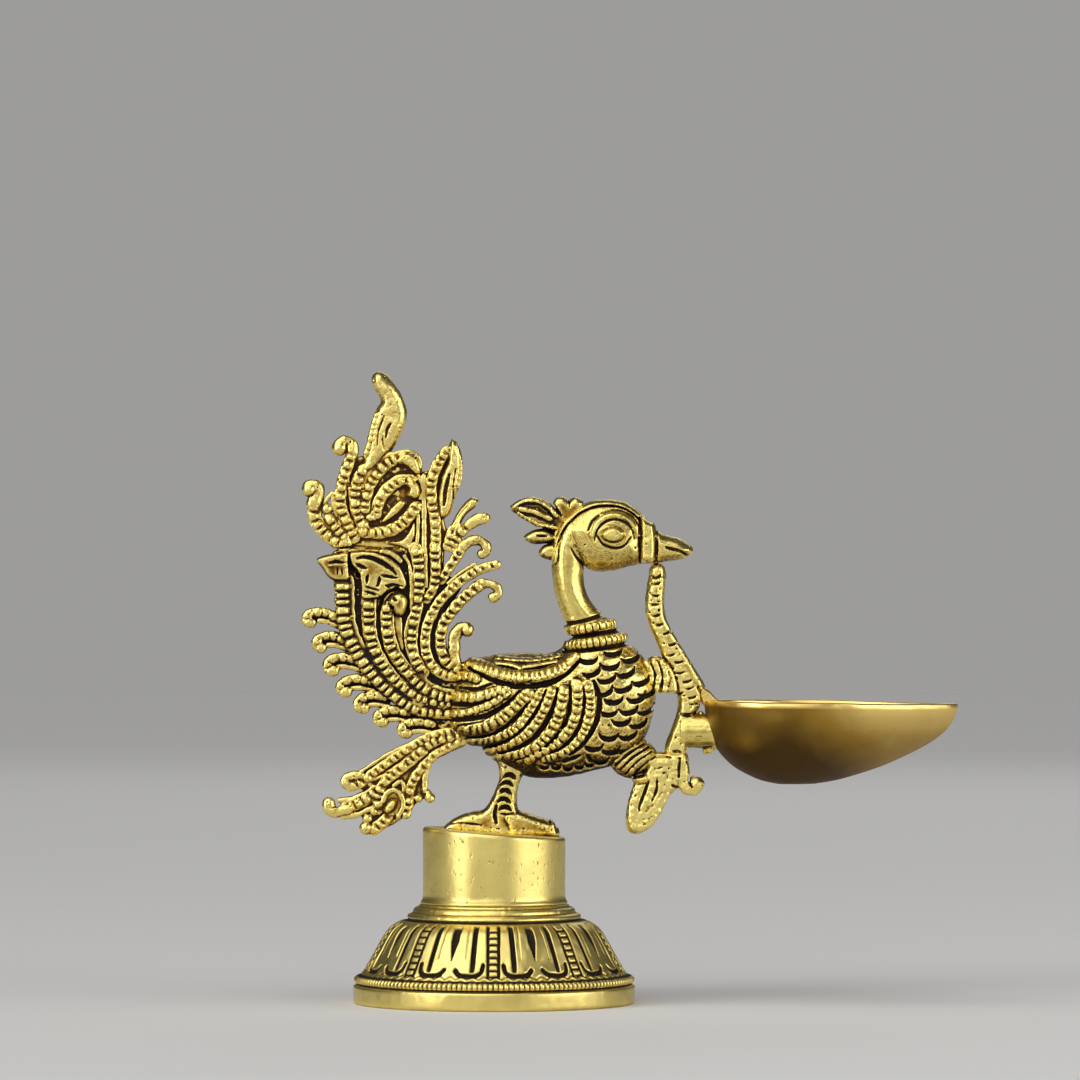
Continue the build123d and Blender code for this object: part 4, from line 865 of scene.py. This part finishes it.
def vine_leaf():
    c = Casting("vine_leaf", (23, 30), (41, 48.5), 3.6)
    c.pillow([(29.6, 46.8), (32.4, 47.2), (34.8, 47), (36.2, 46.4), (36, 44), (35, 41.6), (34.4, 40.2),
        (32.6, 38.6), (31.6, 36.2), (30.2, 33.8), (28.4, 32.3), (26.8, 31.7), (25.3, 32.1), (24.7, 33.6),
        (24.8, 36.2), (25.4, 38.8), (26.2, 41), (27.4, 42.4), (28.6, 44.8)], 1.4, 2.05)
    c.rope([(26.9, 40.4), (26, 37.4), (25.9, 34.4), (26.6, 33)], 0.85, 1.25, pitch=1.7, cut=0.15, k=0.3)
    c.rope([(33.4, 42.8), (32.2, 39.6), (30.8, 36.8), (29.4, 34.4), (27.6, 33)], 0.9, 1.3, pitch=1.6,
        cut=0.15, k=0.3)
    c.rope([(31.2, 43.6), (29.6, 40.2), (28.2, 37), (27.6, 35)], 0.72, 1.45, k=0.2)
    c.rope([(29.2, 45.2), (30.8, 44.9), (32.6, 45.1), (33.6, 44)], 0.6, 1.6, k=0.2)
    # curl
    c.rope([(35.2, 46), (35.5, 43.6), (35.4, 41.6), (36, 40.3), (37.4, 39.9)], 1.15, 1.0, k=0.3)
    c.ball(37.8, 41.0, 1.6, 0.75, k=0.3)
    c.mark()
    c.groove([(36.5, 42.4), (36.6, 41.4), (37.1, 40.5)], 0.3)
    c.groove([(30.5, 42.2), (30.4, 40), (29.6, 38)], 0.3)
    c.groove([(28.9, 41.6), (28.2, 39.6), (27.2, 37), (27.2, 36.2)], 0.34)
    c.groove([(29.6, 46.1), (31.6, 46.2), (33.2, 46)], 0.28)
    c.groove([(34.8, 45.8), (34.6, 43.6), (34.6, 42.4)], 0.34)
    c.groove([(33.2, 40.9), (34.2, 40.6)], 0.3)
    c.groove([(33.6, 47.2), (35, 47)], 0.3)
    c.pits([(37.1, 41.1), (31.6, 43.2), (29, 34.6), (26.5, 39), (32.6, 44), (36, 45.2), (28.2, 33.6)],
           0.27, 0.1)
    c.rough(32, 0.07, 0.06, pits=1.0)
    return c


SOCKET_X, SOCKET_Z = 38.4, 51.0  # middle of the short round bar that joins vine and bowl
SOCKET_R = 3.2
SOCKET_HALF = 3.6


def bowl_socket():
    c = Casting("bowl_socket", (34, 45.4), (43.5, 55.5), 4.6)
    gx, gz = np.meshgrid(c.x, c.z, indexing="ij")
    round_bar = np.sqrt((gz - SOCKET_Z)[:, None, :] ** 2 + c.y[None, :, None] ** 2) - SOCKET_R
    ends = (np.abs(gx - SOCKET_X) - SOCKET_HALF)[:, None, :]
    c.f = -soft_min(-round_bar, -ends, 0.5).astype(np.float32)
    # solder, run in under the joint and round the bowl's end
    for x, z, r, y0 in ((41.0, 53.9, 0.7, 0.3), (41.2, 48.4, 0.9, 0.5), (40.4, 47.6, 0.8, 0.4),
            (39.6, 47.2, 0.55, 0), (42.0, 50.2, 0.8, 2.2), (38.7, 54.3, 0.5, 0.3)):
        c.ball(x, z, r, y0, k=0.5)
    inside_wall = gx - np.interp(gz, *BOWL_CURVES[0].T) - 0.8
    c.f = np.maximum(c.f, inside_wall.astype(np.float32)[:, None, :])
    c.rough(33, 0.03, 0.02)
    return c


# ---------------------------------------------------------------- oil bowl
BOWL_LEVELS = [  # level, back, spout, half width, as the CAD bowl has them
    (41.1, 53.0, 60.0, 2.6), (41.6, 50.6, 63.2, 4.6), (42.4, 48.4, 66.5, 6.2), (44.4, 44.8, 72.6, 9.5),
    (47.4, 41.9, 79.2, 12.9), (50.4, 40.5, 83.9, 14.9), (53.6, 39.7, 86.2, 16.0),
    (57.0, 39.25, 87.05, 16.55),
]
BOWL_CURVES = [smooth_line([(row[0], row[i]) for row in BOWL_LEVELS], pitch=0.1) for i in (1, 2, 3)]
BOWL_WALL = 1.3
BOWL_LIP = 0.35
BOWL_RIM_Z = 56.9
BOWL_COLS = 240
BOWL_ROWS = 26  # up each side, closer together where the bowl turns under
LIP_ROWS = 8
BOWL_BROADEST = 0.38


def bowl_ring(level, inset):
    """One level line of the bowl, inset from its outside."""
    back, tip, half = (np.interp(level, *curve.T) for curve in BOWL_CURVES)
    a = 2 * pi * np.arange(BOWL_COLS) / BOWL_COLS
    share = (1 - np.cos(a)) / 2
    round_part = np.sqrt(np.maximum(1 - ((BOWL_BROADEST - share) / BOWL_BROADEST) ** 2, 0))
    taper = np.maximum(np.cos((share - BOWL_BROADEST) / (1 - BOWL_BROADEST) * pi / 2), 0) ** 0.85
    breadth = np.where(share < BOWL_BROADEST, round_part, taper)
    x = back + inset + share * (tip - back - 2.2 * inset)
    y = np.sign(np.sin(a)) * (half - inset) * breadth
    return x, y


def oil_bowl():
    """Beaten bowl: outside up to the rim, over a softly rounded lip, and down the inside."""
    rng = np.random.default_rng(41)
    wobble = rng.uniform(-1, 1, (6, 3))

    def dent(x, y, z):
        """Slight hand-worked unevenness."""
        waves = (p * np.sin(0.12 * i * x + 3 * q) * np.cos(0.17 * i * y + 0.2 * z + 3 * w)
                 for i, (p, q, w) in enumerate(wobble, 1))
        return 0.05 * sum(waves)

    def rim_drop(x):
        return -0.0148 * (x - 39.3) - 0.10 * np.sin((x - 39) * 0.13) ** 2

    def ring(level, inset, height):
        x, y = bowl_ring(level, inset)
        return x, y, height(x)

    floor_z = BOWL_LEVELS[0][0]
    lip_z = BOWL_RIM_Z - BOWL_LIP
    levels = [floor_z + (lip_z - floor_z) * (1 - cos(pi / 2 * k / BOWL_ROWS)) for k in range(BOWL_ROWS + 1)]
    rings = []
    for z in levels:
        x, y, height = ring(z, 0, lambda x: z + rim_drop(x) * max(0, (z - 50) / 6.9))
        rings.append((x, y + np.sign(y) * dent(x, y, z), height))
    for a in (pi * k / LIP_ROWS for k in range(1, LIP_ROWS)):
        over = lip_z + BOWL_LIP * sin(a)
        rings.append(ring(lip_z, BOWL_WALL / 2 * (1 - cos(a)), lambda x: over + rim_drop(x)))
    for z in levels[::-1]:
        deep = max(0, min(1, (z - floor_z) / 15.0))
        rings.append(ring(z, BOWL_WALL, lambda x: z + BOWL_WALL * (1 - deep) + rim_drop(x) * deep))
    points = np.stack(rings).transpose(0, 2, 1)
    middles = points[[0, -1]].mean(1)
    first = len(rings) * BOWL_COLS
    i = np.arange(BOWL_COLS)
    on = (i + 1) % BOWL_COLS
    last = first - BOWL_COLS
    middle = np.full(BOWL_COLS, first)
    fans = np.stack([middle, i, on, middle + 1, last + on, last + i], 1)
    points = np.vstack([points.reshape(-1, 3), middles])

    def patina_and_painted_light(x, y, z):
        """Lighter towards the spout and along the rim, darker at the brazed end. The light towards the spout
        and two spots near the back are painted highlights; the lower bowl, away from the spout, gets painted
        shade.
        """
        # painted highlight: the bowl grows lighter towards the spout
        wear_and_painted_light = np.clip((x - 54) / 20, 0, 1)
        # painted shade low on the bowl, away from the spout
        underside_shade = np.clip((47 - z) / 5, 0, 1)
        # two painted highlights near the back of the bowl
        spots = 0.07 * np.exp(-((x - 47) / 2.6) ** 2 - ((z - 49) / 2.4) ** 2)
        spots += 0.05 * np.exp(-((x - 52) / 2.6) ** 2 - ((z - 54.2) / 1.4) ** 2)
        rim = np.clip((z - 55.7) / 0.6, 0, 1)
        return (0.632 - 0.19 * wear_and_painted_light + 0.05 * underside_shade * (1 - wear_and_painted_light) - spots) * (1 - rim) + 0.4 * rim

    sides = ring_faces(len(rings), BOWL_COLS, False)[:, [0, 3, 2, 1]]
    return new_mesh("oil_bowl", points * MM, patina_and_painted_light(*points.T), sides, fans.reshape(-1, 3))


def bowl_tab():
    """The ear at the back of the bowl that is brazed to the vine."""
    c = Casting("bowl_tab", (37, 54), (44, 61), 2.4)
    c.pillow([(38.5, 58.9), (39.4, 59.2), (40.3, 58.6), (41.4, 57.4), (42.1, 56.7), (40.6, 55.9),
        (39.4, 55.6), (38.7, 56.8)], 0.5, 1.5)
    c.rough(42, 0.03, 0.02)
    return c


# ---------------------------------------------------------------- pedestal
FLARE = [  # radius, height up the outside of the foot
    (25.9, 0.0), (26.2, 0.25), (26.35, 0.8), (26.35, 3.0), (26.2, 3.35), (25.75, 3.6), (25.7, 3.75),
    (26.0, 4.0), (26.1, 4.5), (25.8, 5.1), (25.1, 5.4), (24.85, 5.7), (24.5, 6.2), (23.9, 7.2), (23.2, 8.3),
    (22.3, 9.9), (21.3, 11.7), (20.1, 13.6), (19.1, 14.6), (17.7, 15.4), (16.7, 15.65), (16.2, 15.75),
    (16.15, 15.95), (16.3, 16.2), (16.1, 16.65), (15.6, 16.9), (15.3, 17.0), (15.2, 17.15), (15.1, 17.6),
    (14.7, 18.0), (14.2, 18.1), (14.05, 18.25), (13.9, 18.55), (13.3, 18.68),
]
INNER = [  # and down the inside, from the spigot to the rim
    (11.42, 18.7), (11.4, 21.0), (11.2, 21.2), (9.4, 21.2), (9.2, 21.0), (9.2, 18.7), (2.1, 18.7),
    (2.06, 18.5), (2.06, 15.9), (2.2, 15.7), (12.5, 15.7), (15.6, 14.5), (18.2, 12.4), (20.6, 8.6),
    (22.0, 5.8), (22.8, 3.8), (24.0, 0.6), (24.4, 0.0),
]
DRUM = [  # radius, height up the outside of the drum, before its top is made to slope
    (11.46, 18.7), (13.75, 18.72), (13.8, 18.95), (13.62, 19.25), (13.42, 19.6), (13.35, 20.2),
    (13.35, 31.4), (13.29, 31.75), (13.05, 32.02), (12.55, DRUM_TOP), (2.0, DRUM_TOP),
]
DRUM_INNER = [(2.0, 28.6), (11.2, 28.6), (11.46, 28.3), (11.46, 18.9)]
PANELS = 9
BEAD_Z = 4.55
RIM_BEADS = 84  # half the number of beads in the ring
RIM_WAVES = 72
FOOT_COLS = 1200
DRUM_COLS = 720
FLAT = 0.44  # recess value of plain surfaces


def resample(points, pitch, smooth=True):
    """The same line in equal steps."""
    line = smooth_line(points, pitch=0.1) if smooth else np.array(points, float)
    run = np.concatenate([[0], np.cumsum(np.hypot(*np.diff(line, axis=0).T))])
    s = np.linspace(0, run[-1], max(2, int(run[-1] / pitch)))
    return np.stack([np.interp(s, run, line[:, 0]), np.interp(s, run, line[:, 1])], 1)


def cut_across(share, power=0.7):
    """The rounded section of a cut: 1 at its middle, 0 where share reaches 1 or -1."""
    return np.clip(1 - share**2, 0, 1) ** power


def line_at(z, level, width):
    """1 on a level line round the pedestal and 0 away from it."""
    return np.exp(-((z - level) / width) ** 2)


def petal_depth(angle, z, r):
    """How deep the engraving goes at each place on the flare. Panels meet at ladder bands."""
    panel = 2 * pi / PANELS
    share = (angle / panel) % 1
    u = (share - 0.5) * panel * r  # across the panel
    ladder = ((share + 0.5) % 1 - 0.5) * panel * r  # across the band between panels
    side = 0.26 * panel * r
    # a petal: two straight flanks, two lobes at the bottom and a tapering slit
    along = np.clip((z - 7) / 2, 0, 1) * np.clip((15.4 - z) / 1.2, 0, 1)
    flank = np.minimum(np.abs(u - side), np.abs(u + side)) / 0.5
    depth = 0.7 * cut_across(flank, 0.6) * along**0.5
    inner = np.minimum(np.abs(u - side + 1.3), np.abs(u + side - 1.3)) / 0.2
    depth = np.maximum(depth, 0.12 * cut_across(inner, 1) * along * (z > 9.5))
    for hand in (-1, 1):
        lobe = [(6.15, 8.4), (6.05, 7.2), (5.2, 6.55), (3.6, 6.45), (2.0, 6.7), (1.1, 7.5)]
        line = smooth_line([(hand * across, up) for across, up in lobe], pitch=0.3)
        depth = np.maximum(depth, 0.6 * cut_across(nearest(line, u, z)[0] / 0.45))
    slit = np.abs(u) / (0.8 * np.clip((z - 9.0) / 3.6, 0.05, 1))
    depth = np.maximum(depth, 0.7 * cut_across(slit, 0.6) * (z > 9.2) * np.clip((15.2 - z) / 0.8, 0, 1))
    # ladder band: a string of beads between two cut lines
    edge = np.minimum(np.abs(ladder - 1.0), np.abs(ladder + 1.0)) / 0.34
    depth = np.maximum(depth, 0.42 * cut_across(edge))
    rung = np.abs((z / 1.15) % 1 - 0.5) * 1.15 / 0.26
    depth = np.maximum(depth, 0.34 * cut_across(rung) * (np.abs(ladder) < 1.0))
    return depth * np.clip((z - 6.0) / 0.4, 0, 1) * np.clip((15.5 - z) / 0.3, 0, 1)


def turned(outer, inner, cols):
    """A turned piece's profile, and the angle, radius and height of each place and whether it is outside."""
    profile = np.vstack([outer, inner])
    angle, r = np.meshgrid(2 * pi * np.arange(cols) / cols, profile[:, 0])
    z = np.repeat(profile[:, 1][:, None], cols, 1)
    return profile, angle, r, z, (np.arange(len(profile)) < len(outer))[:, None]


def turned_mesh(name, angle, r, z, recess):
    points = np.stack([r * np.cos(angle), r * np.sin(angle), z], 2).reshape(-1, 3)
    return new_mesh(name, points * MM, recess.ravel(), ring_faces(*angle.shape, True))


def pedestal_foot():
    outer = resample(FLARE, 0.17)
    inner = resample(INNER, 0.6, smooth=False)
    profile, a, r, z, outside = turned(outer, inner, FOOT_COLS)
    tangent = np.gradient(profile, axis=0)
    tangent /= np.maximum(np.hypot(*tangent.T), 1e-9)[:, None]
    depth = petal_depth(a + pi / 2, z, r) * outside
    # bead ring and the wavy line above it
    bead = np.abs(np.sin(a * RIM_BEADS)) ** 0.6
    beads = 0.42 * (bead - 0.55) * np.exp(-(((z - BEAD_Z) / 0.55) ** 4)) * outside
    wave = z - 5.85 - 0.22 * np.sin(a * RIM_WAVES)
    depth += (0.22 * line_at(wave, 0.32, 0.16) + 0.2 * line_at(wave, -0.34, 0.16)) * outside
    rng = np.random.default_rng(51)
    wear_and_painted_light = 0.035 * lattice_noise((*a.shape, 1), 9, rng)[:, :, 0] * outside
    wear_and_painted_light[:, -9:] = wear_and_painted_light[:, -9:] * np.linspace(1, 0, 9) + wear_and_painted_light[:, :9][:, ::-1] * np.linspace(0, 1, 9)
    move = beads - depth + wear_and_painted_light
    recess = FLAT + 0.95 * depth - 0.35 * np.maximum(beads, 0)
    for level, width, dark in ((3.72, 0.14, 0.5), (5.35, 0.16, 0.5), (15.75, 0.2, 0.5), (17.05, 0.12, 0.25),
                               (18.12, 0.1, 0.25)):
        recess += dark * line_at(z, level, width) * outside
    recess += 0.42 * line_at(z, BEAD_Z, 0.6) * (1 - bead) * outside
    r = r + move * tangent[:, 1][:, None]
    z = np.maximum(z - move * tangent[:, 0][:, None], 0)
    return turned_mesh("pedestal_foot", a, r, z, recess)


def pedestal_drum():
    outer = resample(DRUM, 0.24, smooth=False)
    inner = resample(DRUM_INNER, 1.2, smooth=False)
    _, a, r, z, outside = turned(outer, inner, DRUM_COLS)
    rng = np.random.default_rng(52)
    shape = (*a.shape, 1)
    skin = lattice_noise(shape, 24, rng)[:, :, 0] * 0.02 * outside
    pits = np.clip(lattice_noise(shape, 2.2, rng)[:, :, 0] - 0.86, 0, 1) * 1.6 * outside
    col = np.arange(DRUM_COLS)
    seam = np.clip(np.minimum(col, DRUM_COLS - col) / 12, 0, 1)
    recess = FLAT + 2.2 * pits * seam + 0.12 * line_at(z, 19.4, 0.2) * outside
    r = r + (skin - pits) * seam
    z = z - DRUM_FALL * r * np.cos(a) * np.clip((z - 22) / 10.1, 0, 1) * outside
    return turned_mesh("pedestal_drum", a, r, z, recess)


# ---------------------------------------------------------------- materials
class Metal:
    """A metal material's node tree, and the few kinds of node it is built from."""

    def __init__(self, name):
        self.material = bpy.data.materials.new(name)
        self.material.use_nodes = True
        self.nodes = self.material.node_tree.nodes
        self.link = self.material.node_tree.links.new
        self.shader = self.nodes["Principled BSDF"]
        self.coords = self.nodes.new("ShaderNodeTexCoord")

    def noise(self, scale, detail=4.0, rough=0.55, stretch=None):
        n = self.nodes.new("ShaderNodeTexNoise")
        for socket, value in (("Scale", scale), ("Detail", detail), ("Roughness", rough)):
            n.inputs[socket].default_value = value
        vector = self.coords.outputs["Object"]
        if stretch:
            sized = self.nodes.new("ShaderNodeMapping")
            sized.inputs["Scale"].default_value = stretch
            self.link(vector, sized.inputs["Vector"])
            vector = sized.outputs["Vector"]
        self.link(vector, n.inputs["Vector"])
        return n.outputs["Fac"]

    def math(self, op, a, b):
        n = self.nodes.new("ShaderNodeMath")
        n.operation = op
        for socket, value in zip(n.inputs, (a, b)):
            if isinstance(value, (int, float)):
                socket.default_value = value
            else:
                self.link(value, socket)
        return n.outputs[0]

    def add(self, a, b):
        return self.math("ADD", a, b)

    def times(self, a, b):
        return self.math("MULTIPLY", a, b)

    def speckle(self, amount, *look):
        """Noise that varies about zero."""
        return self.times(self.math("SUBTRACT", self.noise(*look), 0.5), amount)

    def ramp(self, value, stops):
        """Stops are (position, colour) or (position, grey level)."""
        n = self.nodes.new("ShaderNodeValToRGB")
        self.link(value, n.inputs["Fac"])
        for k, (pos, colour) in enumerate(stops):
            e = n.color_ramp.elements[k] if k < 2 else n.color_ramp.elements.new(pos)
            e.position = pos
            e.color = (*colour, 1) if isinstance(colour, tuple) else (colour, colour, colour, 1)
        return n.outputs["Color"]

    def finish(self, **sockets):
        for name, value in sockets.items():
            self.link(value, self.shader.inputs[name.replace("_", " ")])
        return self.material


def between(a, b, t):
    return tuple((1 - t) * p + t * q for p, q in zip(a, b))


def brass(name, high, low, deep, rough, grain=1.0, underside_shade=0.35, brushed=0.0, cloudy=1.0, patina=0.0,
          crust=0.7):
    """Antiqued brass. high is the worn colour, low the tarnished one and deep the colour of the grooves."""
    m = Metal(name)
    m.shader.inputs["Specular IOR Level"].default_value = 0.15
    # the recess attribute; on the oil bowl it also carries painted light and shade
    cavity = m.nodes.new("ShaderNodeAttribute")
    cavity.attribute_name = "recess"
    # tarnish gathers in the recesses and in cloudy patches; faces that look down are darkened too, as
    # painted shade
    facing = m.nodes.new("ShaderNodeSeparateXYZ")
    m.link(m.coords.outputs["Normal"], facing.inputs[0])
    down = m.ramp(m.times(facing.outputs["Z"], -1.0), [(0.0, 0.0), (0.9, 1.0)])
    spread = m.add(cavity.outputs["Fac"], m.speckle(0.14 * cloudy, 260, 5.0))
    spread = m.add(spread, m.speckle(0.12 * cloudy, 45, 3.0))
    # painted shade on faces that look down, scaled per material
    spread = m.add(m.add(spread, patina), m.times(down, 0.16 * underside_shade))
    colour = m.ramp(spread, [(0.42, high), (0.52, between(high, low, 0.45)), (0.6, low),
                             (0.66, between(low, deep, 0.6)), (0.72, deep)])
    gloss = m.ramp(spread, [(0.45, rough), (0.6, rough + 0.12), (0.75, 0.6)])
    height = m.add(m.times(m.noise(1500, 4.0, 0.6), 0.6), m.noise(420, 3.0))
    if brushed:
        height = m.add(height, m.times(m.noise(700, 2.0, 0.5, (0.05, 1.0, 1.0)), brushed))
    bump = m.nodes.new("ShaderNodeBump")
    bump.inputs["Strength"].default_value = 0.3 * grain
    bump.inputs["Distance"].default_value = 0.0002
    m.link(height, bump.inputs["Height"])
    return m.finish(Base_Color=colour, Roughness=m.add(gloss, m.speckle(0.14, 900, 3.0, 0.6)),
                    Metallic=m.ramp(spread, [(0.64, 1.0), (0.76, 1 - crust)]), Normal=bump.outputs["Normal"])


def steel(name):
    m = Metal(name)
    m.shader.inputs["Metallic"].default_value = 1.0
    spots = m.noise(700, 2.0, 0.5)
    colour = m.ramp(spots, [(0.0, (0.34, 0.32, 0.29)), (1.0, (0.56, 0.55, 0.53))])
    return m.finish(Base_Color=colour, Roughness=m.ramp(spots, [(0.0, 0.5), (1.0, 0.32)]))


BIRD_BRASS = brass(
    "bird_brass", (0.92, 0.74, 0.23), (0.42, 0.24, 0.035), (0.016, 0.009, 0.007), 0.27, underside_shade=2.0,
    patina=0.087
)
PLUME_BRASS = brass(
    "plume_brass", (0.92, 0.74, 0.23), (0.48, 0.26, 0.035), (0.05, 0.023, 0.008), 0.28, underside_shade=1.6,
    patina=0.002
)
HEAD_BRASS = brass(
    "head_brass", (0.9, 0.73, 0.22), (0.46, 0.29, 0.05), (0.02, 0.012, 0.008), 0.28, grain=0.6, underside_shade=1.2
)
VINE_BRASS = brass(
    "vine_brass", (0.95, 0.78, 0.25), (0.50, 0.32, 0.06), (0.025, 0.015, 0.008), 0.31, grain=1.3,
    patina=-0.025
)
FOOT_BRASS = brass(
    "pedestal_brass", (0.93, 0.76, 0.25), (0.44, 0.31, 0.07), (0.02, 0.014, 0.008), 0.34,
    grain=0.5, patina=0.015
)
BOWL_BRASS = brass(
    "bowl_brass", (0.92, 0.67, 0.22), (0.36, 0.215, 0.035), (0.09, 0.048, 0.012), 0.3, grain=0.4, underside_shade=1.0,
    brushed=1.0, cloudy=0.35, crust=0.15
)
STEEL = steel("tie_steel")


# ---------------------------------------------------------------- assembly
def place(ob, body, slot, material, *nodes):
    ob.data.materials.append(material)
    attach(ob, body)
    if nodes:
        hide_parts(*nodes)


for build, slot, material, *more in (
    (tail_fan, "bird_brass", BIRD_BRASS),
    (tail_plumes, "bird_brass", PLUME_BRASS),
    (lower_plume, "bird_brass", PLUME_BRASS),
    (bird_torso, "bird_brass", BIRD_BRASS, "wing_near", "wing_far"),
    (neck_and_head, "bird_brass", HEAD_BRASS),
    (necklace, "bird_brass", BIRD_BRASS),
    (crest, "bird_brass", BIRD_BRASS),
    (standing_leg, "bird_brass", BIRD_BRASS),
    (raised_leg, "bird_brass", BIRD_BRASS),
    (vine_stem, "vine_brass", VINE_BRASS),
    (vine_leaf, "vine_brass", VINE_BRASS),
    (bowl_socket, "vine_brass", HEAD_BRASS),
):
    casting = build()
    place(casting.mesh(), "lamp", slot, material, casting.name, *more)
place(oil_bowl(), "lamp", "bowl_brass", BOWL_BRASS, "oil_bowl")
place(bowl_tab().mesh(), "lamp", "bowl_brass", BOWL_BRASS)
place(pedestal_foot(), "foot", "pedestal_brass", FOOT_BRASS, "pedestal_foot")
place(pedestal_drum(), "lamp", "pedestal_brass", FOOT_BRASS, "pedestal_drum")
for node in ("tie_stud", "tie_washer", "tie_nut"):
    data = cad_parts[node].data
    data.materials.clear()
    data.materials.append(STEEL)

# ---------------------------------------------------------------- floor, light and camera
floor_mesh = bpy.data.meshes.new("floor")
floor_mesh.from_pydata([(-3, -3, 0), (3, -3, 0), (3, 3, 0), (-3, 3, 0)], [], [(0, 1, 2, 3)])
floor = linked("floor", floor_mesh)
paper = bpy.data.materials.new("paper")
paper.use_nodes = True
paper.node_tree.nodes["Principled BSDF"].inputs["Base Color"].default_value = (0.72, 0.71, 0.69, 1)
paper.node_tree.nodes["Principled BSDF"].inputs["Roughness"].default_value = 0.9
floor_mesh.materials.append(paper)


def aimed(name, data, toward, place_at=(0, 0, 0)):
    """A light in the scene that shines along toward."""
    ob = linked(name, data)
    ob.location = place_at
    ob.rotation_euler = Vector(toward).to_track_quat("-Z", "Y").to_euler()


LIT_POINT = Vector((0.02, 0, 0.06))
for name, place_at, size, watts in (
    ("left", (-0.75, -0.52, 0.28), (0.36, 0.8), 3.2),
    ("right", (0.86, -0.42, 0.25), (1.0, 0.8), 6.0),
    ("front", (-0.1, -1.6, 0.42), (1.2, 0.5), 2.5),
    ("back", (0.25, 1.3, 0.75), (0.8, 0.5), 1.2),
):
    softbox = bpy.data.lights.new(name, "AREA")
    softbox.shape = "RECTANGLE"
    softbox.size, softbox.size_y = size
    softbox.energy = watts
    aimed(name, softbox, LIT_POINT - Vector(place_at), place_at)

sun = bpy.data.lights.new("overhead", "SUN")
sun.energy = 1.7
sun.angle = radians(75)
aimed("overhead", sun, (0.45, 0.6, -1.0))

# the room: dim where it lights the brass, pale where the camera looks past it
world = bpy.data.worlds.new("room")
bpy.context.scene.world = world
world.use_nodes = True
room = world.node_tree
dim = room.nodes["Background"]
dim.inputs["Color"].default_value = (0.9, 0.92, 0.95, 1)
dim.inputs["Strength"].default_value = 0.06
pale = room.nodes.new("ShaderNodeBackground")
pale.inputs["Color"].default_value = (0.336, 0.332, 0.326, 1)
seen = room.nodes.new("ShaderNodeLightPath")
choose = room.nodes.new("ShaderNodeMixShader")
room.links.new(seen.outputs["Is Camera Ray"], choose.inputs[0])
room.links.new(dim.outputs[0], choose.inputs[1])
room.links.new(pale.outputs[0], choose.inputs[2])
room.links.new(choose.outputs[0], room.nodes["World Output"].inputs["Surface"])
bpy.context.scene.view_settings.view_transform = "Standard"

SENSOR = 36.0
FIELD_WIDTH = 0.2025  # metres across the frame at the bird's mid-plane
DISTANCE = 1.25
EYE_HEIGHT = 0.082
FRAME_CENTRE = (0.0086, 0.0868)
cam_data = bpy.data.cameras.new("camera")
cam_data.sensor_width = SENSOR
cam_data.lens = SENSOR * DISTANCE / FIELD_WIDTH
cam_data.shift_y = (FRAME_CENTRE[1] - EYE_HEIGHT) / FIELD_WIDTH
camera = linked("camera", cam_data)
camera.location = (FRAME_CENTRE[0], -DISTANCE, EYE_HEIGHT)
camera.rotation_euler = (pi / 2, 0, 0)
bpy.context.scene.camera = camera

bpy.context.view_layer.update()
